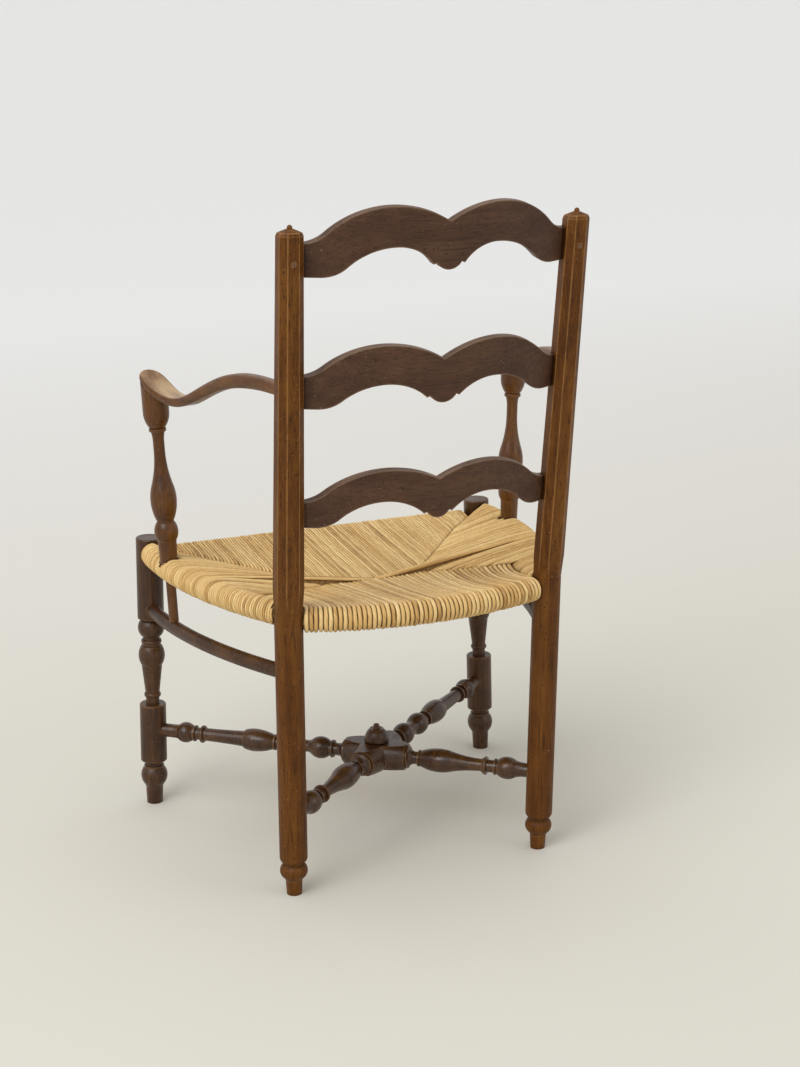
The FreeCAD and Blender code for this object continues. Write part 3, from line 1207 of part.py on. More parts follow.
front_stock = new_body("rush_front_stock", Placement(
    Vector(0, SIZE["leg_y"], 0), Rotation(Vector(0, -1, 0), Vector(1, 0, 0), up, "ZXY")))
front_roll = front_stock.newObject("PartDesign::Pad", "rush_front_roll")
front_roll.Profile = rush_section(front_stock, "rush_front_section", "0", "front_rail_z",
                                  "leg_y - rush_band_front_y")
front_roll.Midplane = True
front_roll.setExpression("Length", bound("2 * leg_top_x"))


def bent_field(name, bow, height, seam):
    """A field rolled over a bowed rail."""
    centre = bow.placement.Base
    out = bow.placement.Rotation.multVec(Vector(1, 0, 0))
    out = Vector(out.x, out.y, 0).normalize()
    stock = new_body(name + "_stock", frame(Vector(centre.x, centre.y, 0), up, out))
    roll = stock.newObject("PartDesign::Revolution", name + "_roll")
    roll.Profile = rush_section(stock, name + "_section", bow.arc, height, seam)
    roll.ReferenceAxis = (roll.Profile[0], ["V_Axis"])
    roll.Midplane = True
    roll.setExpression("Angle", bound(bow.angle("field", "0 - rush_r / 4")))
    return stock


rear_seam = lay_out("rear_seam", rear_rail.radius - (
    rear_rail_end.y + SIZE["rear_rail_bow"] - SIZE["rush_band_rear_y"]))
rear_stock = bent_field("rush_rear", rear_rail, "rear_rail_z", rear_seam)
side_seam = lay_out("side_seam", side_rail.radius - 1.15 * max(
    SIZE["leg_top_x"], SIZE["support_top_x"]))
side_stock = bent_field("rush_side", side_rail,
                        "((side_rail_front_z + side_rail_rear_z) / 2)", side_seam)


def field_plan(name, corners):
    """Upright prism over the plan of one field."""
    body = new_body(name + "_plan")
    pad = body.newObject("PartDesign::Pad", name + "_prism")
    pad.Profile = outline(body, name + "_outline", "XY_Plane", corners[0],
                          corners[1:] + corners[:1], ("0", "0", "rush_seam_bottom / 2"))
    pad.setExpression("Length", bound("rush_seam_bottom"))
    return body


FRONT_IN = ("rush_apex_front_x", "rush_band_front_y")
FRONT_BEND = ("rush_front_miter_x", "rush_front_miter_y")
FRONT_OUT = ("leg_top_x", "leg_y")
REAR_IN = ("rush_apex_rear_x", "rush_band_rear_y")
REAR_BEND = ("rush_rear_miter_x", "rush_rear_miter_y")
REAR_OUT = ("post_knee_x", "post_knee_y")


def other_side(corner):
    return (f"0 - {corner[0]}", corner[1])


front_edge = [("leg_top_x - rush_corner", "leg_y - 3 * rush_r"), FRONT_OUT, FRONT_BEND, FRONT_IN]
front_plan = field_plan("rush_front", front_edge + [other_side(item) for item in front_edge[::-1]])
rear_edge = [("post_knee_x - rush_corner / 2", "post_knee_y + 3 * rush_r"), REAR_OUT,
             REAR_BEND, REAR_IN]
rear_plan = field_plan("rush_rear", rear_edge + [other_side(item) for item in rear_edge[::-1]])
side_plan = field_plan("rush_side", [
    ("0", "rush_band_front_y"), FRONT_IN, FRONT_BEND, FRONT_OUT,
    ("leg_top_x + 3 * rush_r", "leg_y + rush_corner"),
    ("leg_top_x + 3 * rush_r", "post_knee_y - rush_corner"),
    REAR_OUT, REAR_BEND, REAR_IN, ("0", "rush_band_rear_y")])
front_field = shared("rush_front_field", [front_stock, front_plan])
rear_field = shared("rush_rear_field", [rear_stock, rear_plan])
side_field = shared("rush_side_field", [side_stock, side_plan])

# Channels in the rush for rails, posts, legs and arm supports
RUSH_LEG = "leg_top_r + rush_gap"
RUSH_POST = "post_round_r + 4 * rush_gap"
low_z, high_z = SIZE["rush_seam_bottom"] - SIZE["rush_r"], SIZE["post_knee_z"] + 2 * SIZE["rush_r"]
leg_channel = rod("rush_leg", leg_axis(low_z), leg_axis(high_z), RUSH_LEG)
post_channel = rod("rush_post", post_axis(low_z), post_axis(high_z), RUSH_POST)
side_channel = side_rail.bar("channel", "rail_r + rush_gap", "rail_tip_setback")
rear_channel = rear_rail.bar("channel", "rail_r + rush_gap", "rear_rail_tip_setback")
front_channel = rod("front_rail_channel", mirror_point(front_rail_tip), front_rail_tip,
                    "rail_r + rush_gap")
support_channels = [
    rod("rush_shank", bar_pass, rail_pass + support_way * SIZE["rail_r"],
        "support_shank_r + rush_gap"),
    rod("rush_support_foot", rail_pass, rail_pass + support_way * (4 * SIZE["rush_r"]),
        "support_foot_top_r + rush_gap"),
]
side_channel_right = mirrored("side_channel_right", side_channel)
rush_front = cut("rush_front", front_field, [
    front_channel, leg_channel, mirrored("rush_leg_right", leg_channel),
    side_channel, side_channel_right])
rush_rear = cut("rush_rear", rear_field, [
    rear_channel, post_channel, mirrored("rush_post_right", post_channel),
    side_channel, side_channel_right])
rush_left = cut("rush_left", side_field, [
    side_channel, leg_channel, post_channel, front_channel, rear_channel] + support_channels)

# Every separate piece of the chair, by file name
PIECES = {
    "rear_post_left": rear_post_left,
    "rear_post_right": mirrored("rear_post_right", rear_post_left),
    "front_leg_left": front_leg_left,
    "front_leg_right": mirrored("front_leg_right", front_leg_left),
    "top_slat": top_slat,
    "middle_slat": middle_slat,
    "bottom_slat": bottom_slat,
    "slat_pegs": slat_pegs,
    "arm_left": arm_left,
    "arm_right": mirrored("arm_right", arm_left),
    "arm_support_left": arm_support_left,
    "arm_support_right": mirrored("arm_support_right", arm_support_left),
    "seat_rail_front": seat_rail_front,
    "seat_rail_rear": rear_rail_body,
    "seat_rail_left": seat_rail_left,
    "seat_rail_right": mirrored("seat_rail_right", seat_rail_left),
    "side_stretcher_left": side_stretcher_left,
    "side_stretcher_right": mirrored("side_stretcher_right", side_stretcher_left),
    "cross_stretcher_upper": cross_stretcher_upper,
    "cross_stretcher_lower": cross_stretcher_lower,
    "cross_knob": cross_knob,
    "rush_front": rush_front,
    "rush_rear": rush_rear,
    "rush_left": rush_left,
    "rush_right": mirrored("rush_right", rush_left),
}
for name, piece in PIECES.items():
    piece.Label = name

doc.recompute()

# Check, then write
failed = [item.Name for item in doc.Objects if {"Invalid", "Error"} & set(item.State)]
for name, piece in PIECES.items():
    shape = piece.Shape
    if shape.isNull() or not shape.isValid() or not shape.Solids:
        failed.append(name)
if failed:
    raise RuntimeError("not built: " + ", ".join(failed))

os.makedirs("parts", exist_ok=True)
for name, piece in PIECES.items():
    piece.Shape.exportStep(f"parts/{name}.step")
    box = piece.Shape.BoundBox
    print(f"{name}: {len(piece.Shape.Solids)} solid(s), {piece.Shape.Volume / 1000:.1f} cm3, "
          f"x {box.XMin:.1f}..{box.XMax:.1f} y {box.YMin:.1f}..{box.YMax:.1f} "
          f"z {box.ZMin:.1f}..{box.ZMax:.1f}")
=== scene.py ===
"""Ladderback armchair with a rush seat: finishes, woven seat, camera and stage."""

import math
import random

import bmesh
import bpy
from bpy.props import FloatProperty, FloatVectorProperty, IntProperty, PointerProperty
from mathutils import Matrix, Vector


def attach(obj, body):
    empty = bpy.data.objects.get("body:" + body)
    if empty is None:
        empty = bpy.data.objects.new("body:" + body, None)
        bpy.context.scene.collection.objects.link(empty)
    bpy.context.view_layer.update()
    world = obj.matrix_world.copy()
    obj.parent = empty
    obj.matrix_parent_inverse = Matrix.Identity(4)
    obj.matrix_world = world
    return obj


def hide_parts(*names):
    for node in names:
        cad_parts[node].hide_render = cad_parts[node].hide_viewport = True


bl_info = {
    "name": "Ladderback armchair",
    "version": (1, 0),
    "blender": (4, 5, 0),
    "location": "View3D > Sidebar > Chair",
    "description": "Waxed wood finishes, woven rush seat and studio for a ladderback armchair",
    "category": "Object",
}

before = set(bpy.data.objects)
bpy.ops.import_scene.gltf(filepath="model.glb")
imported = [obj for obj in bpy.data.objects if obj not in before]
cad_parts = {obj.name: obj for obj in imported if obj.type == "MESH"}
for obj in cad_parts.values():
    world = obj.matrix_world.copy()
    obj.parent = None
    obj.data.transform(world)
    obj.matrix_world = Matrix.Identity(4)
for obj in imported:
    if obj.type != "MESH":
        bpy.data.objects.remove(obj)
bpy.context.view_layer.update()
MM = 0.001


# Node materials

class Finish:
    """A material that is put together node by node."""

    def __init__(self, name):
        self.material = bpy.data.materials.new(name)
        self.material.use_nodes = True
        self.tree = self.material.node_tree
        self.tree.nodes.clear()

    def node(self, kind, settings=None, **inputs):
        made = self.tree.nodes.new(kind)
        for key, value in (settings or {}).items():
            setattr(made, key, value)
        for key, value in inputs.items():
            self.feed(made.inputs[key.replace("_", " ")], value)
        return made

    def feed(self, socket, value):
        if isinstance(value, bpy.types.NodeSocket):
            self.tree.links.new(value, socket)
        else:
            socket.default_value = value

    def math(self, operation, first, second=0.0, clamp=False):
        made = self.node("ShaderNodeMath", {"operation": operation, "use_clamp": clamp})
        self.feed(made.inputs[0], first)
        self.feed(made.inputs[1], second)
        return made.outputs[0]

    def total(self, *parts):
        """Sum of values, each given with its share."""
        (value, share), *others = parts
        result = self.math("MULTIPLY", value, share)
        for value, share in others:
            result = self.math("ADD", result, self.math("MULTIPLY", value, share))
        return result

    def span(self, value, low, high, to_low=0.0, to_high=1.0):
        """Stretch a value from one range to another, held at the ends."""
        made = self.node("ShaderNodeMapRange", {"clamp": True}, Value=value)
        for key, number in (("From Min", low), ("From Max", high),
                            ("To Min", to_low), ("To Max", to_high)):
            made.inputs[key].default_value = number
        return made.outputs["Result"]

    def blend(self, factor, first, second, way="MIX"):
        made = self.node("ShaderNodeMix", {"data_type": "RGBA", "blend_type": way})
        self.feed(made.inputs[0], factor)
        self.feed(made.inputs[6], first)
        self.feed(made.inputs[7], second)
        return made.outputs[2]

    def ramp(self, value, stops):
        made = self.node("ShaderNodeValToRGB", Fac=value)
        made.color_ramp.elements[0].position = stops[0][0]
        made.color_ramp.elements[0].color = (*stops[0][1], 1.0)
        made.color_ramp.elements[1].position = stops[-1][0]
        made.color_ramp.elements[1].color = (*stops[-1][1], 1.0)
        for place, colour in stops[1:-1]:
            stop = made.color_ramp.elements.new(place)
            stop.color = (*colour, 1.0)
        return made.outputs["Color"]

    def noise(self, vector, scale, detail=4.0, roughness=0.55, distortion=0.0):
        made = self.node("ShaderNodeTexNoise", Vector=vector, Scale=scale, Detail=detail,
                         Roughness=roughness, Distortion=distortion)
        return made.outputs["Fac"]

    def placed(self, vector, scale=(1, 1, 1), turn=(0, 0, 0)):
        made = self.node("ShaderNodeMapping", Vector=vector, Scale=scale, Rotation=turn)
        return made.outputs["Vector"]

    def finish(self, shader):
        out = self.node("ShaderNodeOutputMaterial")
        self.tree.links.new(shader.outputs["BSDF"], out.inputs["Surface"])
        return self.material


GRAIN = {"X": (0.05, 1, 1), "Y": (1, 0.05, 1), "Z": (1, 1, 0.05)}
PORE_STRETCH = 0.02
FLAME = 0.35
# Strength of the painted shade that darkens the grooves
GROOVE_SHADE_STRENGTH = 0.7
EDGE_RADIUS = 3.2 * MM
NOOK_DEPTH = 9 * MM
CALM_BAND = (4 * MM, 12 * MM)
WORN_REACH = (30 * MM, -70 * MM)


def darkened(colour, share):
    return (*[c * share for c in colour], 1.0)


def wood(name, tones, worn, along="Z", turn=0.0, wear=0.5, top_wear=0.0, gloss=0.3,
         calm=None, worn_front=False, shine=0.3, rough=(0.3, 0.5), figure=55.0):
    """Old waxed wood: streaks, pores, pits, scuffs, rubbed edges and painted shade in the
    grooves.

    No edge is rubbed near the height calm. worn_front fades the rubbed top to the back."""
    coat = Finish(name)
    place = coat.node("ShaderNodeTexCoord").outputs["Object"]
    square = coat.placed(place, turn=(0, 0, turn))
    run = coat.placed(square, scale=GRAIN[along])
    fine_run = coat.placed(square, scale=tuple(
        PORE_STRETCH if part < 1 else 1 for part in GRAIN[along]))

    streaks = coat.noise(run, figure, 6.0, 0.6, FLAME)
    fine = coat.noise(run, figure * 6, 3.0, 0.6)
    cloud = coat.noise(square, 11.0, 3.0, 0.5)
    blotch = coat.noise(square, 38.0, 4.0, 0.65)
    tone = coat.total((streaks, 0.46), (fine, 0.18), (cloud, 0.22), (blotch, 0.14))
    colour = coat.ramp(coat.span(tone, 0.33, 0.67), [
        (0.0, tones[0]), (0.45, tones[1]), (1.0, tones[2])])

    pores = coat.span(coat.noise(fine_run, 620.0, 2.0, 0.5), 0.34, 0.44, 1.0, 0.0)
    colour = coat.blend(coat.math("MULTIPLY", pores, 0.55), colour,
                        darkened(tones[0], 0.35))

    pits = coat.span(coat.noise(square, 240.0, 2.0, 0.5), 0.64, 0.70)
    colour = coat.blend(coat.math("MULTIPLY", pits, 0.65), colour,
                        darkened(tones[0], 0.3))
    scuffs = coat.math("MULTIPLY", coat.span(coat.noise(square, 330.0, 2.0, 0.5), 0.68, 0.73),
                       coat.span(coat.noise(square, 17.0, 3.0, 0.5), 0.45, 0.65))
    colour = coat.blend(coat.math("MULTIPLY", scuffs, 0.75), colour, (*worn, 1.0))

    # Rubbed edges: where the rounded normal leaves the real one, but not in grooves
    geometry = coat.node("ShaderNodeNewGeometry")
    rounded = coat.node("ShaderNodeBevel", {"samples": 6}, Radius=EDGE_RADIUS)
    facing = coat.node("ShaderNodeVectorMath", {"operation": "DOT_PRODUCT"})
    coat.feed(facing.inputs[0], rounded.outputs["Normal"])
    coat.feed(facing.inputs[1], geometry.outputs["Normal"])
    edge = coat.span(facing.outputs["Value"], 0.997, 0.935)
    nook = coat.node("ShaderNodeAmbientOcclusion", {"samples": 6}, Distance=NOOK_DEPTH)
    opened = nook.outputs["AO"]
    edge = coat.math("MULTIPLY", edge, coat.span(opened, 0.55, 0.85))
    patchy = coat.span(coat.noise(square, 70.0, 5.0, 0.6), 0.30, 0.60, 0.35, 1.0)
    edge = coat.math("MULTIPLY", edge, patchy, clamp=True)
    spot = coat.node("ShaderNodeSeparateXYZ", Vector=place)
    if calm:
        away = coat.math("ABSOLUTE", coat.math("SUBTRACT", spot.outputs["Z"], calm))
        edge = coat.math("MULTIPLY", edge, coat.span(away, *CALM_BAND))
    colour = coat.blend(coat.math("MULTIPLY", edge, wear), colour, (*worn, 1.0))
    if top_wear:
        up = coat.node("ShaderNodeSeparateXYZ", Vector=geometry.outputs["Normal"])
        rubbed = coat.span(up.outputs["Z"], 0.70, 0.98)
        rubbed = coat.math("MULTIPLY", rubbed, coat.span(
            coat.noise(run, figure * 0.8, 4.0, 0.55), 0.30, 0.60))
        if worn_front:
            rubbed = coat.math("MULTIPLY", rubbed, coat.span(
                spot.outputs["Y"], *WORN_REACH, 0.2, 1.0))
        colour = coat.blend(coat.math("MULTIPLY", rubbed, top_wear), colour, (*worn, 1.0))
    # Painted shade: the colour is darkened in grooves and corners, where the ambient occlusion
    # finds little open space
    groove_shade = coat.math("MULTIPLY", coat.span(opened, 0.75, 0.30), GROOVE_SHADE_STRENGTH)
    colour = coat.blend(groove_shade, colour, darkened(tones[0], 0.18))

    relief = coat.total((fine, 0.5), (pores, -0.7), (blotch, 0.8))
    bump = coat.node("ShaderNodeBump", Strength=0.30, Distance=0.35 * MM, Height=relief)
    sheen = coat.span(coat.noise(square, 26.0, 4.0, 0.6), 0.3, 0.7, rough[0], rough[1])
    surface = coat.node("ShaderNodeBsdfPrincipled", Base_Color=colour, Roughness=sheen,
                        Specular_IOR_Level=shine, Coat_Weight=gloss, Coat_Roughness=0.2,
                        Normal=bump.outputs["Normal"])
    return coat.finish(surface)


def straw(name, pale, mid, brown, gap):
    """Twisted rush: fibres along each strand, uneven golden tones, painted shade in the gaps
    between.
    """
    coat = Finish(name)
    fibre = coat.node("ShaderNodeAttribute", {"attribute_name": "fibre"}).outputs["Vector"]
    tone = coat.node("ShaderNodeAttribute", {"attribute_name": "tone"}).outputs["Fac"]
    place = coat.node("ShaderNodeTexCoord").outputs["Object"]
    threads = coat.noise(coat.placed(fibre, scale=(60, 1100, 1100)), 1.0, 3.0, 0.55)
    leaf = coat.noise(coat.placed(fibre, scale=(26, 260, 260)), 1.0, 3.0, 0.6)
    patch = coat.noise(place, 9.0, 3.0, 0.55)
    mixed = coat.total((leaf, 0.38), (tone, 0.38), (patch, 0.24))
    colour = coat.ramp(coat.span(mixed, 0.24, 0.74), [
        (0.06, brown), (0.36, mid), (1.0, pale)])
    colour = coat.blend(coat.span(threads, 0.62, 0.36, 0.0, 0.42), colour, (*brown, 1.0))
    # Painted shade: the colour is darkened toward the gap colour between strands, where the
    # ambient occlusion finds little open space
    nook = coat.node("ShaderNodeAmbientOcclusion", {"samples": 8}, Distance=5.5 * MM)
    deep = coat.span(nook.outputs["AO"], 0.78, 0.28)
    colour = coat.blend(coat.math("MULTIPLY", deep, 0.85), colour, (*gap, 1.0))
    relief = coat.total((threads, 0.8), (leaf, 0.6))
    bump = coat.node("ShaderNodeBump", Strength=0.5, Distance=0.3 * MM, Height=relief)
    rough = coat.span(leaf, 0.3, 0.7, 0.42, 0.62)
    surface = coat.node("ShaderNodeBsdfPrincipled", Base_Color=colour, Roughness=rough,
                        Specular_IOR_Level=0.35, Normal=bump.outputs["Normal"])
    return coat.finish(surface)


def stuffing(name, colour, dark):
    """Dark dry filling seen between the strands."""
    coat = Finish(name)
    place = coat.node("ShaderNodeTexCoord").outputs["Object"]
    chaff = coat.noise(place, 320.0, 4.0, 0.6)
    tint = coat.ramp(chaff, [(0.3, dark), (0.7, colour)])
    bump = coat.node("ShaderNodeBump", Strength=0.5, Distance=0.5 * MM, Height=chaff)
    surface = coat.node("ShaderNodeBsdfPrincipled", Base_Color=tint, Roughness=0.85,
                        Normal=bump.outputs["Normal"])
    return coat.finish(surface)


def dress(node, material):
    """Give a carried-over wooden piece its finish."""
    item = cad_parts[node]
    if not item.material_slots:
        item.data.materials.append(material)
    for slot in item.material_slots:
        slot.link = "OBJECT"
        slot.material = material


# Rush weaving

def bow(start, end, through, count=96):
    """Points along the arc from start to end through a third point."""
    a, b = end - start, through - start
    square = a.cross(b)
    centre = start + (a.length_squared * b - b.length_squared * a).cross(square) / (
        2 * square.length_squared)
    arm = start - centre
    swing = arm.angle(end - centre)
    axis = arm.cross(end - centre).normalized()
    return [centre + Matrix.Rotation(swing * i / count, 3, axis) @ arm
            for i in range(count + 1)]


def spaced(points, low, high, axis, pitch):
    """Evenly spaced places along a line of points, between two values of one axis."""
    kept = [p for p in points if low <= p[axis] <= high]
    lengths = [0.0]
    for p, q in zip(kept, kept[1:]):
        lengths.append(lengths[-1] + (q - p).length)
    count = max(2, round(lengths[-1] / pitch))
    places, k = [], 0
    for i in range(count + 1):
        want = lengths[-1] * i / count
        while k < len(kept) - 2 and lengths[k + 1] < want:
            k += 1
        share = (want - lengths[k]) / (lengths[k + 1] - lengths[k])
        places.append((kept[k].lerp(kept[k + 1], share), (kept[k + 1] - kept[k]).normalized()))
    return places


def level(stops, value):
    """Straight-line reading between stops (key, value), held at the ends."""
    if value <= stops[0][0]:
        return stops[0][1]
    for (a, u), (b, w) in zip(stops, stops[1:]):
        if value <= b:
            return u + (w - u) * (value - a) / (b - a)
    return stops[-1][1]


def along_line(corners, share):
    """Point at a share of the length of a line through corners."""
    lengths = [(q - p).length for p, q in zip(corners, corners[1:])]
    left = min(max(share, 0.0), 1.0) * sum(lengths)
    for p, q, part in zip(corners, corners[1:], lengths):
        if left <= part:
            return p.lerp(q, left / part)
        left -= part
    return corners[-1]


class Weave:
    """The plan of the seat: rails, mitres and heights, in metres, left half given.

    The mitres are lines (x, y) from the middle seam out to the leg and to the post.
    Tops and undersides are stops (y, z) in front, and (run, z) at the rear, where the
    run is measured from fan_y on the middle line."""

    roll = 18 * MM
    band = (-18 * MM, -8 * MM)
    band_spread = 4
    band_top, band_under = 396 * MM, 367 * MM
    front_tops = [(-247 * MM, 413.5 * MM), (-18 * MM, 397 * MM)]
    front_unders = [(-247 * MM, 378.5 * MM), (-18 * MM, 367 * MM)]
    fan_y = -268.7 * MM
    rear_tops = [(260 * MM, 397 * MM), (463 * MM, 425 * MM)]
    rear_unders = [(260 * MM, 367 * MM), (463 * MM, 391 * MM)]
    rear_widen = 195.5 / 179
    front_mitre = [(66 * MM, -18 * MM), (202 * MM, -180 * MM), (272.5 * MM, -247 * MM)]
    rear_mitre = [(80 * MM, -8 * MM), (196 * MM, 44 * MM), (187 * MM, 92 * MM),
                  (175 * MM, 146 * MM)]
    side_run = (-222.5 * MM, 151 * MM)
    side_split = 0.56
    side_centre = 0.018
    side_straight = 0.14
    centre_x = 82 * MM
    centre_sink = 0.3
    lead_share = 0.38
    tuck_length = 9 * MM
    under_shares = (1.0, 0.985, 0.93, 0.8, 0.55, 0.3, 0.12)
    over_shares = (0.05, 0.11, 0.18, 0.27, 0.38, 0.50, 0.62, 0.74, 0.86)
    roll_steps = 10
    roll_half_angle = 88
    front = [Vector((x * MM, -247 * MM, 396 * MM)) for x in range(-250, 251, 5)]
    rear = bow(Vector((-0.1949, 0.1515, 0.408)), Vector((0.1949, 0.1515, 0.408)),
               Vector((0, 0.1945, 0.408)))
    side = bow(Vector((0.2729, -0.247, 0.409)), Vector((0.19495, 0.16083, 0.418)),
               Vector((0.2751, -0.1314, 0.4115)))

    def front_top(self, y):
        return level(self.front_tops, y)

    def front_under(self, y):
        return level(self.front_unders, y)

    def rear_top(self, x, y):
        return level(self.rear_tops, math.hypot(x, y - self.fan_y))

    def rear_under(self, x, y):
        return level(self.rear_unders, math.hypot(x, y - self.fan_y))

    def front_end(self, place):
        x = abs(place.x)
        y = level(self.front_mitre, x)
        return Vector((place.x, y, self.front_top(y))), self.front_under(y)

    def rear_end(self, place):
        x = place.x * self.rear_widen
        y = level(self.rear_mitre[:2], abs(x))
        y -= 1.5 * MM if abs(x) < 80 * MM else 0.0
        return Vector((x, y, self.rear_top(x, y))), self.rear_under(x, y)

    def side_end(self, place):
        """The strands of the side rail share out the whole length of the mitres."""
        front = [Vector((x, y)) for x, y in reversed(self.front_mitre)]
        rear = [Vector((x, y)) for x, y in self.rear_mitre]
        share = (place.y - self.side_run[0]) / (self.side_run[1] - self.side_run[0])
        across = (share - self.side_split) / self.side_centre
        if abs(across) < 1:
            y = (self.band[0] + self.band[1]) / 2 + across * self.band_spread * MM
            return Vector((0.4 * MM, y, self.band_top)), self.band_under
        if share < self.side_split:
            share /= self.side_split - self.side_centre
            x, y = along_line(front, 0.1 + 0.9 * share)
            sunk = 3 * MM * min(1.0, 4 * (1 - share))
            return Vector((x, y, self.front_top(y) - sunk)), self.front_under(y) + 2 * MM
        span = 1 - self.side_split - self.side_centre
        x, y = along_line(rear, (share - self.side_split - self.side_centre) / span)
        return Vector((x, y, self.rear_top(x, y))), self.rear_under(x, y) - 1 * MM

    def swing(self, place):
        """1 for a strand that leaves the side rail squarely, 0 for the straight centre one."""
        share = (place.y - self.side_run[0]) / (self.side_run[1] - self.side_run[0])
        return min(1.0, abs(share - self.side_split) / self.side_straight)

    def path(self, place, outward, end, under, inset, dome, swing=1.0):
        """Way of one strand: underside, round the rail, over the top, down at the mitre."""
        reach = self.roll - inset
        lift = Vector((0, 0, 1))
        flat = Vector((end.x - place.x, end.y - place.y, 0))
        distance = flat.length
        lead = (place + flat * self.lead_share).lerp(
            place - outward * (self.lead_share * distance), swing)

        def plan(t):
            spot = place * (1 - t) ** 2 + lead * (2 * t * (1 - t)) + end * t ** 2
            return Vector((spot.x, spot.y, 0))

        points = []
        for t in self.under_shares:
            spot = plan(t)
            spot.z = place.z - reach + (under + inset - place.z + reach) * t
            points.append(spot)
        points[0].z = (end.z + under) / 2 - 1 * MM
        points[1].z += 4 * MM
        for step in range(self.roll_steps + 1):
            angle = math.radians(
                -self.roll_half_angle + 2 * self.roll_half_angle * step / self.roll_steps)
            points.append(place + outward * (reach * math.cos(angle))
                          + lift * (reach * math.sin(angle)))
        sink = self.centre_sink if abs(end.x) < self.centre_x else 1.0
        tuck = min(0.5, self.tuck_length * sink / max(distance, 1e-4))
        for t in self.over_shares:
            share = t * (1 - tuck) / self.over_shares[-1]
            spot = plan(share)
            spot.z = place.z + reach + (end.z - inset - place.z - reach) * share ** dome
            points.append(spot)
        for share, drop in ((1 - 0.45 * tuck, 0.9), (1 - 0.12 * tuck, 3.2), (1.0, 7.0)):
            spot = plan(share)
            spot.z = place.z + reach + (end.z - inset - place.z - reach) * share ** dome
            spot.z -= drop * sink * MM
            points.append(spot)
        last = points[-1].copy()
        last.z = (end.z + under) / 2 + 1 * MM
        points.append(last)
        return points


# The arm support's line: where it is at its base height, and how far it leans on its rise
SUPPORT_BASE = (0.2758, -0.1319, 0.43)
SUPPORT_LEAN = (0.0083, -0.0055, 0.22)
SHANK_ROOM = 13.2 * MM
FOOT_ROOM = 7.6 * MM
FOOT_TOP = 0.417
POST_CENTRE = (195 * MM, 161 * MM)
POST_ROOM = 21 * MM


def clear_of_wood(point):
    """False inside the arm support's shank or foot, or inside the back post."""
    share = (point.z - SUPPORT_BASE[2]) / SUPPORT_LEAN[2]
    x = SUPPORT_BASE[0] + SUPPORT_LEAN[0] * share
    y = SUPPORT_BASE[1] + SUPPORT_LEAN[1] * share
    room = SHANK_ROOM if point.z > FOOT_TOP else FOOT_ROOM
    if math.hypot(abs(point.x) - x, point.y - y) < room:
        return False
    return math.hypot(abs(point.x) - POST_CENTRE[0], point.y - POST_CENTRE[1]) > POST_ROOM


THINNEST, THICKEST = 0.85, 1.3
EASE_FROM, EASE_STEPS = 19, 5


def spread(ways, row, step, half):
    """How much a strand has to thicken here to meet its neighbours."""
    here = ways[row][step]
    run = ways[row][min(step + 1, len(ways[row]) - 1)] - ways[row][max(step - 1, 0)]
    if run.length < 1e-6:
        return 1.0
    run.normalize()
    gaps = []
    for other in (row - 1, row + 1):
        if 0 <= other < len(ways):
            across = ways[other][step] - here
            gaps.append((across - run * across.dot(run)).length)
    wanted = min(max(sum(gaps) / len(gaps) / (2 * half), THINNEST), THICKEST)
    eased = min(max((step - EASE_FROM) / EASE_STEPS, 0.0), 1.0)
    return 1 + (wanted - 1) * eased


SWAY = 0.28 * MM
UNEVEN_HEIGHT = 0.22
TWIST_RATE = 190


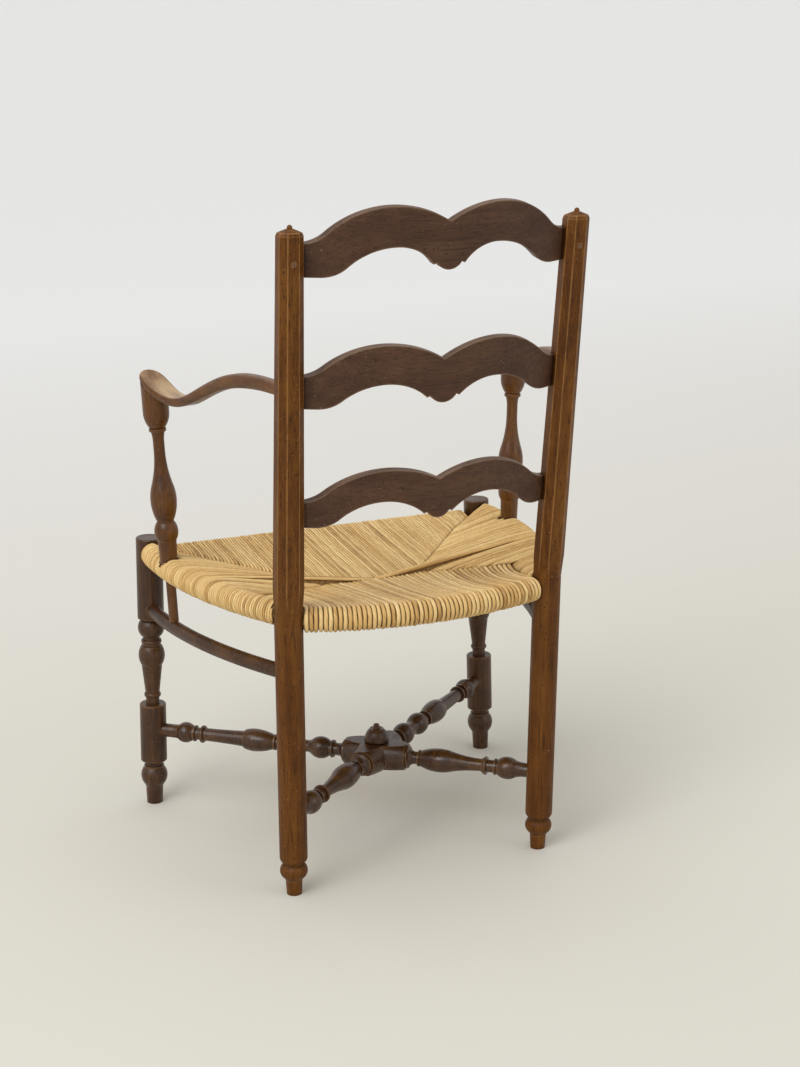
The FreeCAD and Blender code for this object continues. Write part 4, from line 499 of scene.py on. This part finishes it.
def twist_strands(name, ways, thickness, sides, seed):
    """Strands of rush along the given ways, as one mesh with their fibre directions."""
    dice = random.Random(seed)
    cord = bpy.data.curves.new(name + "_ways", "CURVE")
    cord.dimensions = "3D"
    cord.bevel_depth = 1.0
    cord.bevel_resolution = sides // 2 - 2
    rows = []
    for row, way in enumerate(ways):
        phase = [dice.uniform(0, 6.28) for _ in range(5)]
        heavy = dice.uniform(0.93, 1.06)
        tone = dice.random()
        lift = dice.gauss(0, UNEVEN_HEIGHT) * MM
        run, walked = [], 0.0
        for i, point in enumerate(way):
            walked += (point - way[max(i - 1, 0)]).length
            sway = SWAY * math.sin(walked * 95 + phase[0])
            aside = way[min(i + 1, len(way) - 1)] - way[max(i - 1, 0)]
            aside = aside.cross(Vector((0, 0, 1)))
            if aside.length < 1e-5:
                aside = Vector((0, 0, 0))
            else:
                aside.normalize()
            spot = point + aside * sway + Vector((0, 0, lift))
            size = spread(ways, row, i, thickness)
            size *= thickness * heavy * (1 + 0.06 * math.sin(walked * 330 + phase[1])
                                        + 0.04 * math.sin(walked * 131 + phase[2]))
            run.append((spot, size, walked))
        piece = []
        for spot, size, walked in run + [(None, 0, 0)]:
            if spot is not None and clear_of_wood(spot):
                piece.append((spot, size, walked))
                continue
            if len(piece) > 1:
                rows.append((piece, tone, phase[3]))
            piece = []
    for piece, _, _ in rows:
        line = cord.splines.new("POLY")
        line.points.add(len(piece) - 1)
        for point, (spot, size, _) in zip(line.points, piece):
            point.co = (*spot, 1.0)
            point.radius = size
    holder = bpy.data.objects.new(name + "_ways", cord)
    bpy.context.collection.objects.link(holder)
    mesh = bpy.data.meshes.new_from_object(holder.evaluated_get(
        bpy.context.evaluated_depsgraph_get()))
    bpy.data.objects.remove(holder)
    bpy.data.curves.remove(cord)
    mesh.attributes.new("fibre", "FLOAT_VECTOR", "POINT")
    mesh.attributes.new("tone", "FLOAT", "POINT")
    fibre, tones = mesh.attributes["fibre"].data, mesh.attributes["tone"].data
    expected = sum(len(piece) for piece, _, _ in rows) * sides
    if len(mesh.vertices) != expected:
        raise RuntimeError(f"{name}: {len(mesh.vertices)} points, not {expected}")
    index = 0
    for k, (piece, tone, phase) in enumerate(rows):
        for _, size, walked in piece:
            for j in range(sides):
                around = 2 * math.pi * j / sides + walked * TWIST_RATE + phase
                fibre[index].vector = (walked + 0.7 * k, size * math.cos(around) + 0.013 * k,
                                       size * math.sin(around))
                tones[index].value = tone
                index += 1
    capped = bmesh.new()
    capped.from_mesh(mesh)
    rims = [edge for edge in capped.edges if edge.is_boundary]
    bmesh.ops.holes_fill(capped, edges=rims, sides=0)
    bmesh.ops.recalc_face_normals(capped, faces=capped.faces)
    capped.to_mesh(mesh)
    capped.free()
    piece = bpy.data.objects.new(name, mesh)
    bpy.context.collection.objects.link(piece)
    mesh.polygons.foreach_set("use_smooth", [True] * len(mesh.polygons))
    return piece


def fill_field(name, ways):
    """Closed filling under the strands, lofted along the same ways."""
    around = len(ways[0])
    body = bmesh.new()
    bmesh.ops.create_grid(body, x_segments=len(ways) - 1, y_segments=around - 1, size=0.5)
    for corner in body.verts:
        i = round((corner.co.x + 0.5) * (len(ways) - 1))
        j = round((corner.co.y + 0.5) * (around - 1))
        corner.co = ways[i][j]
    bmesh.ops.remove_doubles(body, verts=body.verts, dist=0.05 * MM)
    rims = [edge for edge in body.edges if edge.is_boundary]
    bmesh.ops.holes_fill(body, edges=rims, sides=0)
    bmesh.ops.recalc_face_normals(body, faces=body.faces)
    mesh = bpy.data.meshes.new(name)
    body.to_mesh(mesh)
    body.free()
    mesh.polygons.foreach_set("use_smooth", [True] * len(mesh.polygons))
    piece = bpy.data.objects.new(name, mesh)
    bpy.context.collection.objects.link(piece)
    return piece


# Settings

def colour(name, description, default):
    return FloatVectorProperty(name=name, description=description, default=default,
                               subtype="COLOR", min=0.0, max=1.0)


def length(name, description, default):
    return FloatProperty(name=name, description=description, default=default,
                         unit="LENGTH", subtype="DISTANCE", min=0.0, precision=4)


class WoodSettings(bpy.types.PropertyGroup):
    """Tones of the old waxed wood."""

    post_dark: colour("Post, dark", "Dark figure of the back posts", (0.036, 0.011, 0.002))
    post_mid: colour("Post, middle", "Middle tone of the back posts", (0.108, 0.035, 0.003))
    post_light: colour("Post, light", "Light figure of the back posts", (0.190, 0.074, 0.010))
    post_worn: colour("Post, rubbed", "Rubbed corners of the back posts", (0.42, 0.20, 0.060))
    slat_dark: colour("Slat, dark", "Dark figure of the slats", (0.036, 0.012, 0.005))
    slat_mid: colour("Slat, middle", "Middle tone of the slats", (0.064, 0.026, 0.012))
    slat_light: colour("Slat, light", "Light figure of the slats", (0.105, 0.050, 0.024))
    slat_worn: colour("Slat, rubbed", "Rubbed edges of the slats", (0.26, 0.16, 0.095))
    arm_dark: colour("Arm, dark", "Dark figure of the arms", (0.040, 0.011, 0.001))
    arm_mid: colour("Arm, middle", "Middle tone of the arms", (0.100, 0.034, 0.004))
    arm_light: colour("Arm, light", "Light figure of the arms", (0.190, 0.080, 0.015))
    arm_worn: colour("Arm, rubbed", "Rubbed tops of the arms", (0.52, 0.36, 0.20))
    turned_dark: colour("Turning, dark", "Dark figure of legs and stretchers",
                        (0.014, 0.004, 0.001))
    turned_mid: colour("Turning, middle", "Middle tone of legs and stretchers",
                       (0.050, 0.018, 0.004))
    turned_light: colour("Turning, light", "Light figure of legs and stretchers",
                         (0.125, 0.052, 0.014))
    turned_worn: colour("Turning, rubbed", "Rubbed beads and edges", (0.30, 0.14, 0.045))


class RushSettings(bpy.types.PropertyGroup):
    """Sizes and tones of the rush seat."""

    front_pitch: length("Front pitch", "Spacing of the strands on the front rail", 4.3 * MM)
    rear_pitch: length("Rear pitch", "Spacing of the strands on the rear rail", 6.4 * MM)
    side_pitch: length("Side pitch", "Spacing of the strands on the side rails", 4.4 * MM)
    fill_depth: length("Filling depth", "Filling below the tops of the strands", 4.4 * MM)
    sides: IntProperty(name="Strand sides", description="Faces round a strand", default=8,
                       min=6, max=12)
    pale: colour("Pale", "Pale rush", (0.88, 0.65, 0.30))
    mid: colour("Middle", "Golden rush", (0.67, 0.42, 0.148))
    brown: colour("Brown", "Browned leaf", (0.38, 0.205, 0.060))
    gap: colour("Gap", "Shade deep between the strands", (0.085, 0.042, 0.014))


class StageSettings(bpy.types.PropertyGroup):
    """Floor, lamps and camera."""

    floor: colour("Floor", "Pale floor", (0.65, 0.628, 0.56))
    sky: colour("Surroundings", "Pale surroundings", (0.83, 0.83, 0.825))
    lens: FloatProperty(name="Lens", description="Focal length", default=68.087,
                        unit="CAMERA", min=10.0)
    window: FloatProperty(name="Window", description="Strength of the window light",
                          default=1.0, min=0.0)
    key_power: FloatProperty(name="Key lamp", description="Power of the window-side lamp",
                             default=22.0, unit="POWER", min=0.0)
    fill_power: FloatProperty(name="Fill lamp", description="Power of the lamp opposite",
                              default=10.0, unit="POWER", min=0.0)
    top_power: FloatProperty(name="Top lamp", description="Power of the overhead lamp",
                             default=8.0, unit="POWER", min=0.0)


# Operators

BEND_HEIGHT = 423 * MM
CROSS_TURN = math.radians(40.4)
CAMERA_PLACE = (1.0516, 2.6107, 1.2688)
CAMERA_YAW, CAMERA_PITCH, CAMERA_ROLL = 0.3948, 0.2775, -0.0087
WORLD_STRENGTH = 0.85
SKY_SPREAD = math.radians(50)


class CHAIR_OT_finish_wood(bpy.types.Operator):
    """Give posts, slats, arms, legs and stretchers their waxed finishes"""

    bl_idname = "chair.finish_wood"
    bl_label = "Finish the wood"

    def execute(self, context):
        pick = context.scene.chair_wood
        turned = (pick.turned_dark, pick.turned_mid, pick.turned_light)
        amber = (pick.arm_dark, pick.arm_mid, pick.arm_light)
        bare = (pick.arm_mid, pick.arm_light, pick.arm_worn)
        posts = wood("post_wax", (pick.post_dark, pick.post_mid, pick.post_light),
                     pick.post_worn, "Z", wear=0.9, gloss=0.0, calm=BEND_HEIGHT, shine=0.18,
                     rough=(0.38, 0.58))
        slats = wood("slat_wax", (pick.slat_dark, pick.slat_mid, pick.slat_light),
                     pick.slat_worn, "X", wear=0.7, top_wear=0.45, gloss=0.0, shine=0.3,
                     rough=(0.38, 0.58))
        arms = wood("arm_wax", amber, pick.arm_worn, "Y", wear=0.3, top_wear=0.85,
                    gloss=0.0, worn_front=True, shine=0.35, rough=(0.3, 0.46))
        supports = wood("support_wax", amber, pick.turned_worn, "Z", wear=0.4, gloss=0.1,
                        shine=0.35, rough=(0.28, 0.42))
        legs = wood("leg_wax", turned, pick.turned_worn, "Z", wear=0.55, gloss=0.12,
                    shine=0.35, rough=(0.28, 0.45))
        upper = wood("cross_wax_upper", turned, pick.turned_worn, "X", turn=-CROSS_TURN,
                     wear=0.5, gloss=0.18, shine=0.4, rough=(0.22, 0.38))
        lower = wood("cross_wax_lower", turned, pick.turned_worn, "X", turn=CROSS_TURN,
                     wear=0.5, gloss=0.18, shine=0.4, rough=(0.22, 0.38))
        knob = wood("knob_wax", turned, pick.turned_worn, "Z", wear=0.4, gloss=0.18,
                    rough=(0.22, 0.38))
        rails = wood("rail_bare", bare, pick.arm_worn, "X", wear=0.2, gloss=0.0,
                     rough=(0.5, 0.7))
        side_rails = wood("side_rail_bare", bare, pick.arm_worn, "Y", wear=0.2, gloss=0.0,
                          rough=(0.5, 0.7))
        side_bars = wood("side_bar_wax", turned, pick.turned_worn, "Y", wear=0.4,
                         gloss=0.05, rough=(0.32, 0.5))
        pegs = wood("peg_wax", (pick.slat_mid, pick.slat_light, pick.slat_worn),
                    pick.slat_worn, "Y", wear=0.6, gloss=0.0, figure=160.0)
        for names, material in (
                (("rear_post_left", "rear_post_right"), posts),
                (("top_slat", "middle_slat", "bottom_slat"), slats),
                (("arm_left", "arm_right"), arms),
                (("arm_support_left", "arm_support_right"), supports),
                (("front_leg_left", "front_leg_right"), legs),
                (("side_stretcher_left", "side_stretcher_right"), side_bars),
                (("cross_stretcher_upper",), upper), (("cross_stretcher_lower",), lower),
                (("cross_knob",), knob), (("slat_pegs",), pegs),
                (("seat_rail_front", "seat_rail_rear"), rails),
                (("seat_rail_left", "seat_rail_right"), side_rails)):
            for name in names:
                dress(name, material)
        return {"FINISHED"}


class CHAIR_OT_weave_seat(bpy.types.Operator):
    """Weave the rush seat: four fields of strands round the rails, over a filling"""

    bl_idname = "chair.weave_seat"
    bl_label = "Weave the seat"

    def execute(self, context):
        pick = context.scene.chair_rush
        rush = straw("rush_straw", pick.pale, pick.mid, pick.brown, pick.gap)
        chaff = stuffing("rush_filling", pick.brown, pick.gap)
        plan = Weave()
        lift = Vector((0, 0, 1))
        fields = {
            "front": (plan.front, -0.2495, 0.2495, 0, pick.front_pitch, plan.front_end, 1.0, 11),
            "rear": (plan.rear, -0.1790, 0.1790, 0, pick.rear_pitch, plan.rear_end, 1.0, 12),
            "left": (plan.side, *plan.side_run, 1, pick.side_pitch, plan.side_end, 1.35, 13),
        }
        for field, (rail, low, high, axis, pitch, ending, dome, seed) in fields.items():
            half = pitch * 0.50
            ways, fills = [], []
            for place, along in spaced(rail, low, high, axis, pitch):
                outward = along.cross(lift).normalized()
                if field == "rear" and outward.y < 0 or field == "left" and outward.x < 0:
                    outward = -outward
                if field == "front":
                    outward = Vector((0, -1, 0))
                end, under = ending(place)
                swing = plan.swing(place) if field == "left" else 1.0
                ways.append(plan.path(place, outward, end, under, half, dome, swing))
                fills.append(plan.path(place, outward, end, under, pick.fill_depth, dome,
                                       swing))
            self.lay(field, ways, fills, half, pick.sides, seed, rush, chaff)
            if field == "left":
                flip = [[Vector((-p.x, p.y, p.z)) for p in way] for way in ways]
                flip_fills = [[Vector((-p.x, p.y, p.z)) for p in way] for way in fills]
                self.lay("right", flip, flip_fills, half, pick.sides, seed + 1, rush, chaff)
        return {"FINISHED"}

    def lay(self, field, ways, fills, half, sides, seed, rush, chaff):
        """One field: its strands stand for the solid, with the filling inside."""
        strands = twist_strands("rush_strands_" + field, ways, half, sides, seed)
        strands.data.materials.append(rush)
        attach(strands, "root")
        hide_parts("rush_" + field)
        filling = fill_field("rush_filling_" + field, fills)
        filling.data.materials.append(chaff)
        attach(filling, "root")


class CHAIR_OT_set_stage(bpy.types.Operator):
    """Set the floor, the lamps and the camera"""

    bl_idname = "chair.set_stage"
    bl_label = "Set the stage"

    def execute(self, context):
        pick = context.scene.chair_stage
        scene = context.scene
        scene.view_settings.view_transform = "Standard"
        body = bmesh.new()
        bmesh.ops.create_grid(body, x_segments=1, y_segments=1, size=150.0)
        mesh = bpy.data.meshes.new("floor")
        body.to_mesh(mesh)
        body.free()
        floor = bpy.data.objects.new("floor", mesh)
        scene.collection.objects.link(floor)
        coat = Finish("floor_pale")
        place = coat.node("ShaderNodeTexCoord").outputs["Object"]
        mottle = coat.noise(place, 1.4, 3.0, 0.5)
        tint = coat.ramp(mottle, [(0.3, tuple(c * 0.985 for c in pick.floor)),
                                  (0.7, tuple(pick.floor))])
        away = coat.node("ShaderNodeSeparateXYZ", Vector=place).outputs["Y"]
        tint = coat.blend(coat.span(away, -0.6, -4.5), tint, (*pick.sky, 1.0))
        surface = coat.node("ShaderNodeBsdfPrincipled", Base_Color=tint, Roughness=0.9)
        mesh.materials.append(coat.finish(surface))

        world = bpy.data.worlds.new("surroundings")
        world.use_nodes = True
        scene.world = world
        world.node_tree.nodes["Background"].inputs["Color"].default_value = (*pick.sky, 1.0)
        world.node_tree.nodes["Background"].inputs["Strength"].default_value = WORLD_STRENGTH

        window = bpy.data.lights.new("window", "SUN")
        window.angle = SKY_SPREAD
        window.energy = pick.window
        holder = bpy.data.objects.new("window", window)
        scene.collection.objects.link(holder)
        holder.rotation_mode = "QUATERNION"
        holder.rotation_quaternion = Vector((-0.62, -0.38, -0.85)).to_track_quat("-Z", "Y")
        for name, place, aim, size, power in (
                ("key_lamp", (2.3, 1.5, 2.3), (0, 0, 0.5), 1.6, pick.key_power),
                ("fill_lamp", (-2.2, 2.4, 1.7), (0, 0, 0.5), 2.0, pick.fill_power),
                ("top_lamp", (0.2, -0.6, 3.2), (0, 0, 0.3), 2.4, pick.top_power)):
            lamp = bpy.data.lights.new(name, "AREA")
            lamp.shape = "DISK"
            lamp.size = size
            lamp.energy = power
            holder = bpy.data.objects.new(name, lamp)
            scene.collection.objects.link(holder)
            holder.location = place
            holder.rotation_mode = "QUATERNION"
            holder.rotation_quaternion = (Vector(aim) - Vector(place)).to_track_quat("-Z", "Y")

        level_share = math.cos(CAMERA_PITCH)
        ahead = Vector((-math.sin(CAMERA_YAW) * level_share,
                        -math.cos(CAMERA_YAW) * level_share, -math.sin(CAMERA_PITCH)))
        right = ahead.cross(Vector((0, 0, 1))).normalized()
        up = right.cross(ahead)
        side = right * math.cos(CAMERA_ROLL) + up * math.sin(CAMERA_ROLL)
        top = up * math.cos(CAMERA_ROLL) - right * math.sin(CAMERA_ROLL)
        lens = bpy.data.cameras.new("camera")
        lens.lens = pick.lens
        lens.sensor_width = 36.0
        camera = bpy.data.objects.new("camera", lens)
        scene.collection.objects.link(camera)
        turn = Matrix((side, top, -ahead)).transposed().to_4x4()
        camera.matrix_world = Matrix.Translation(Vector(CAMERA_PLACE)) @ turn
        scene.camera = camera
        return {"FINISHED"}


class CHAIR_PT_panel(bpy.types.Panel):
    """Steps and sizes of the chair"""

    bl_idname = "CHAIR_PT_panel"
    bl_label = "Ladderback armchair"
    bl_space_type = "VIEW_3D"
    bl_region_type = "UI"
    bl_category = "Chair"

    def draw(self, context):
        for step in OPERATORS:
            self.layout.operator(step.bl_idname)
        for group in ("chair_wood", "chair_rush", "chair_stage"):
            box = self.layout.box()
            values = getattr(context.scene, group)
            for key in values.__annotations__:
                box.prop(values, key)


GROUPS = {"chair_wood": WoodSettings, "chair_rush": RushSettings, "chair_stage": StageSettings}
OPERATORS = (CHAIR_OT_finish_wood, CHAIR_OT_weave_seat, CHAIR_OT_set_stage)


def register():
    for group in GROUPS.values():
        bpy.utils.register_class(group)
    for step in OPERATORS:
        bpy.utils.register_class(step)
    bpy.utils.register_class(CHAIR_PT_panel)
    for name, group in GROUPS.items():
        setattr(bpy.types.Scene, name, PointerProperty(type=group))


def unregister():
    for name in GROUPS:
        delattr(bpy.types.Scene, name)
    bpy.utils.unregister_class(CHAIR_PT_panel)
    for step in reversed(OPERATORS):
        bpy.utils.unregister_class(step)
    for group in GROUPS.values():
        bpy.utils.unregister_class(group)


def main():
    register()
    bpy.ops.chair.finish_wood()
    bpy.ops.chair.weave_seat()
    bpy.ops.chair.set_stage()


if __name__ == "__main__":
    main()
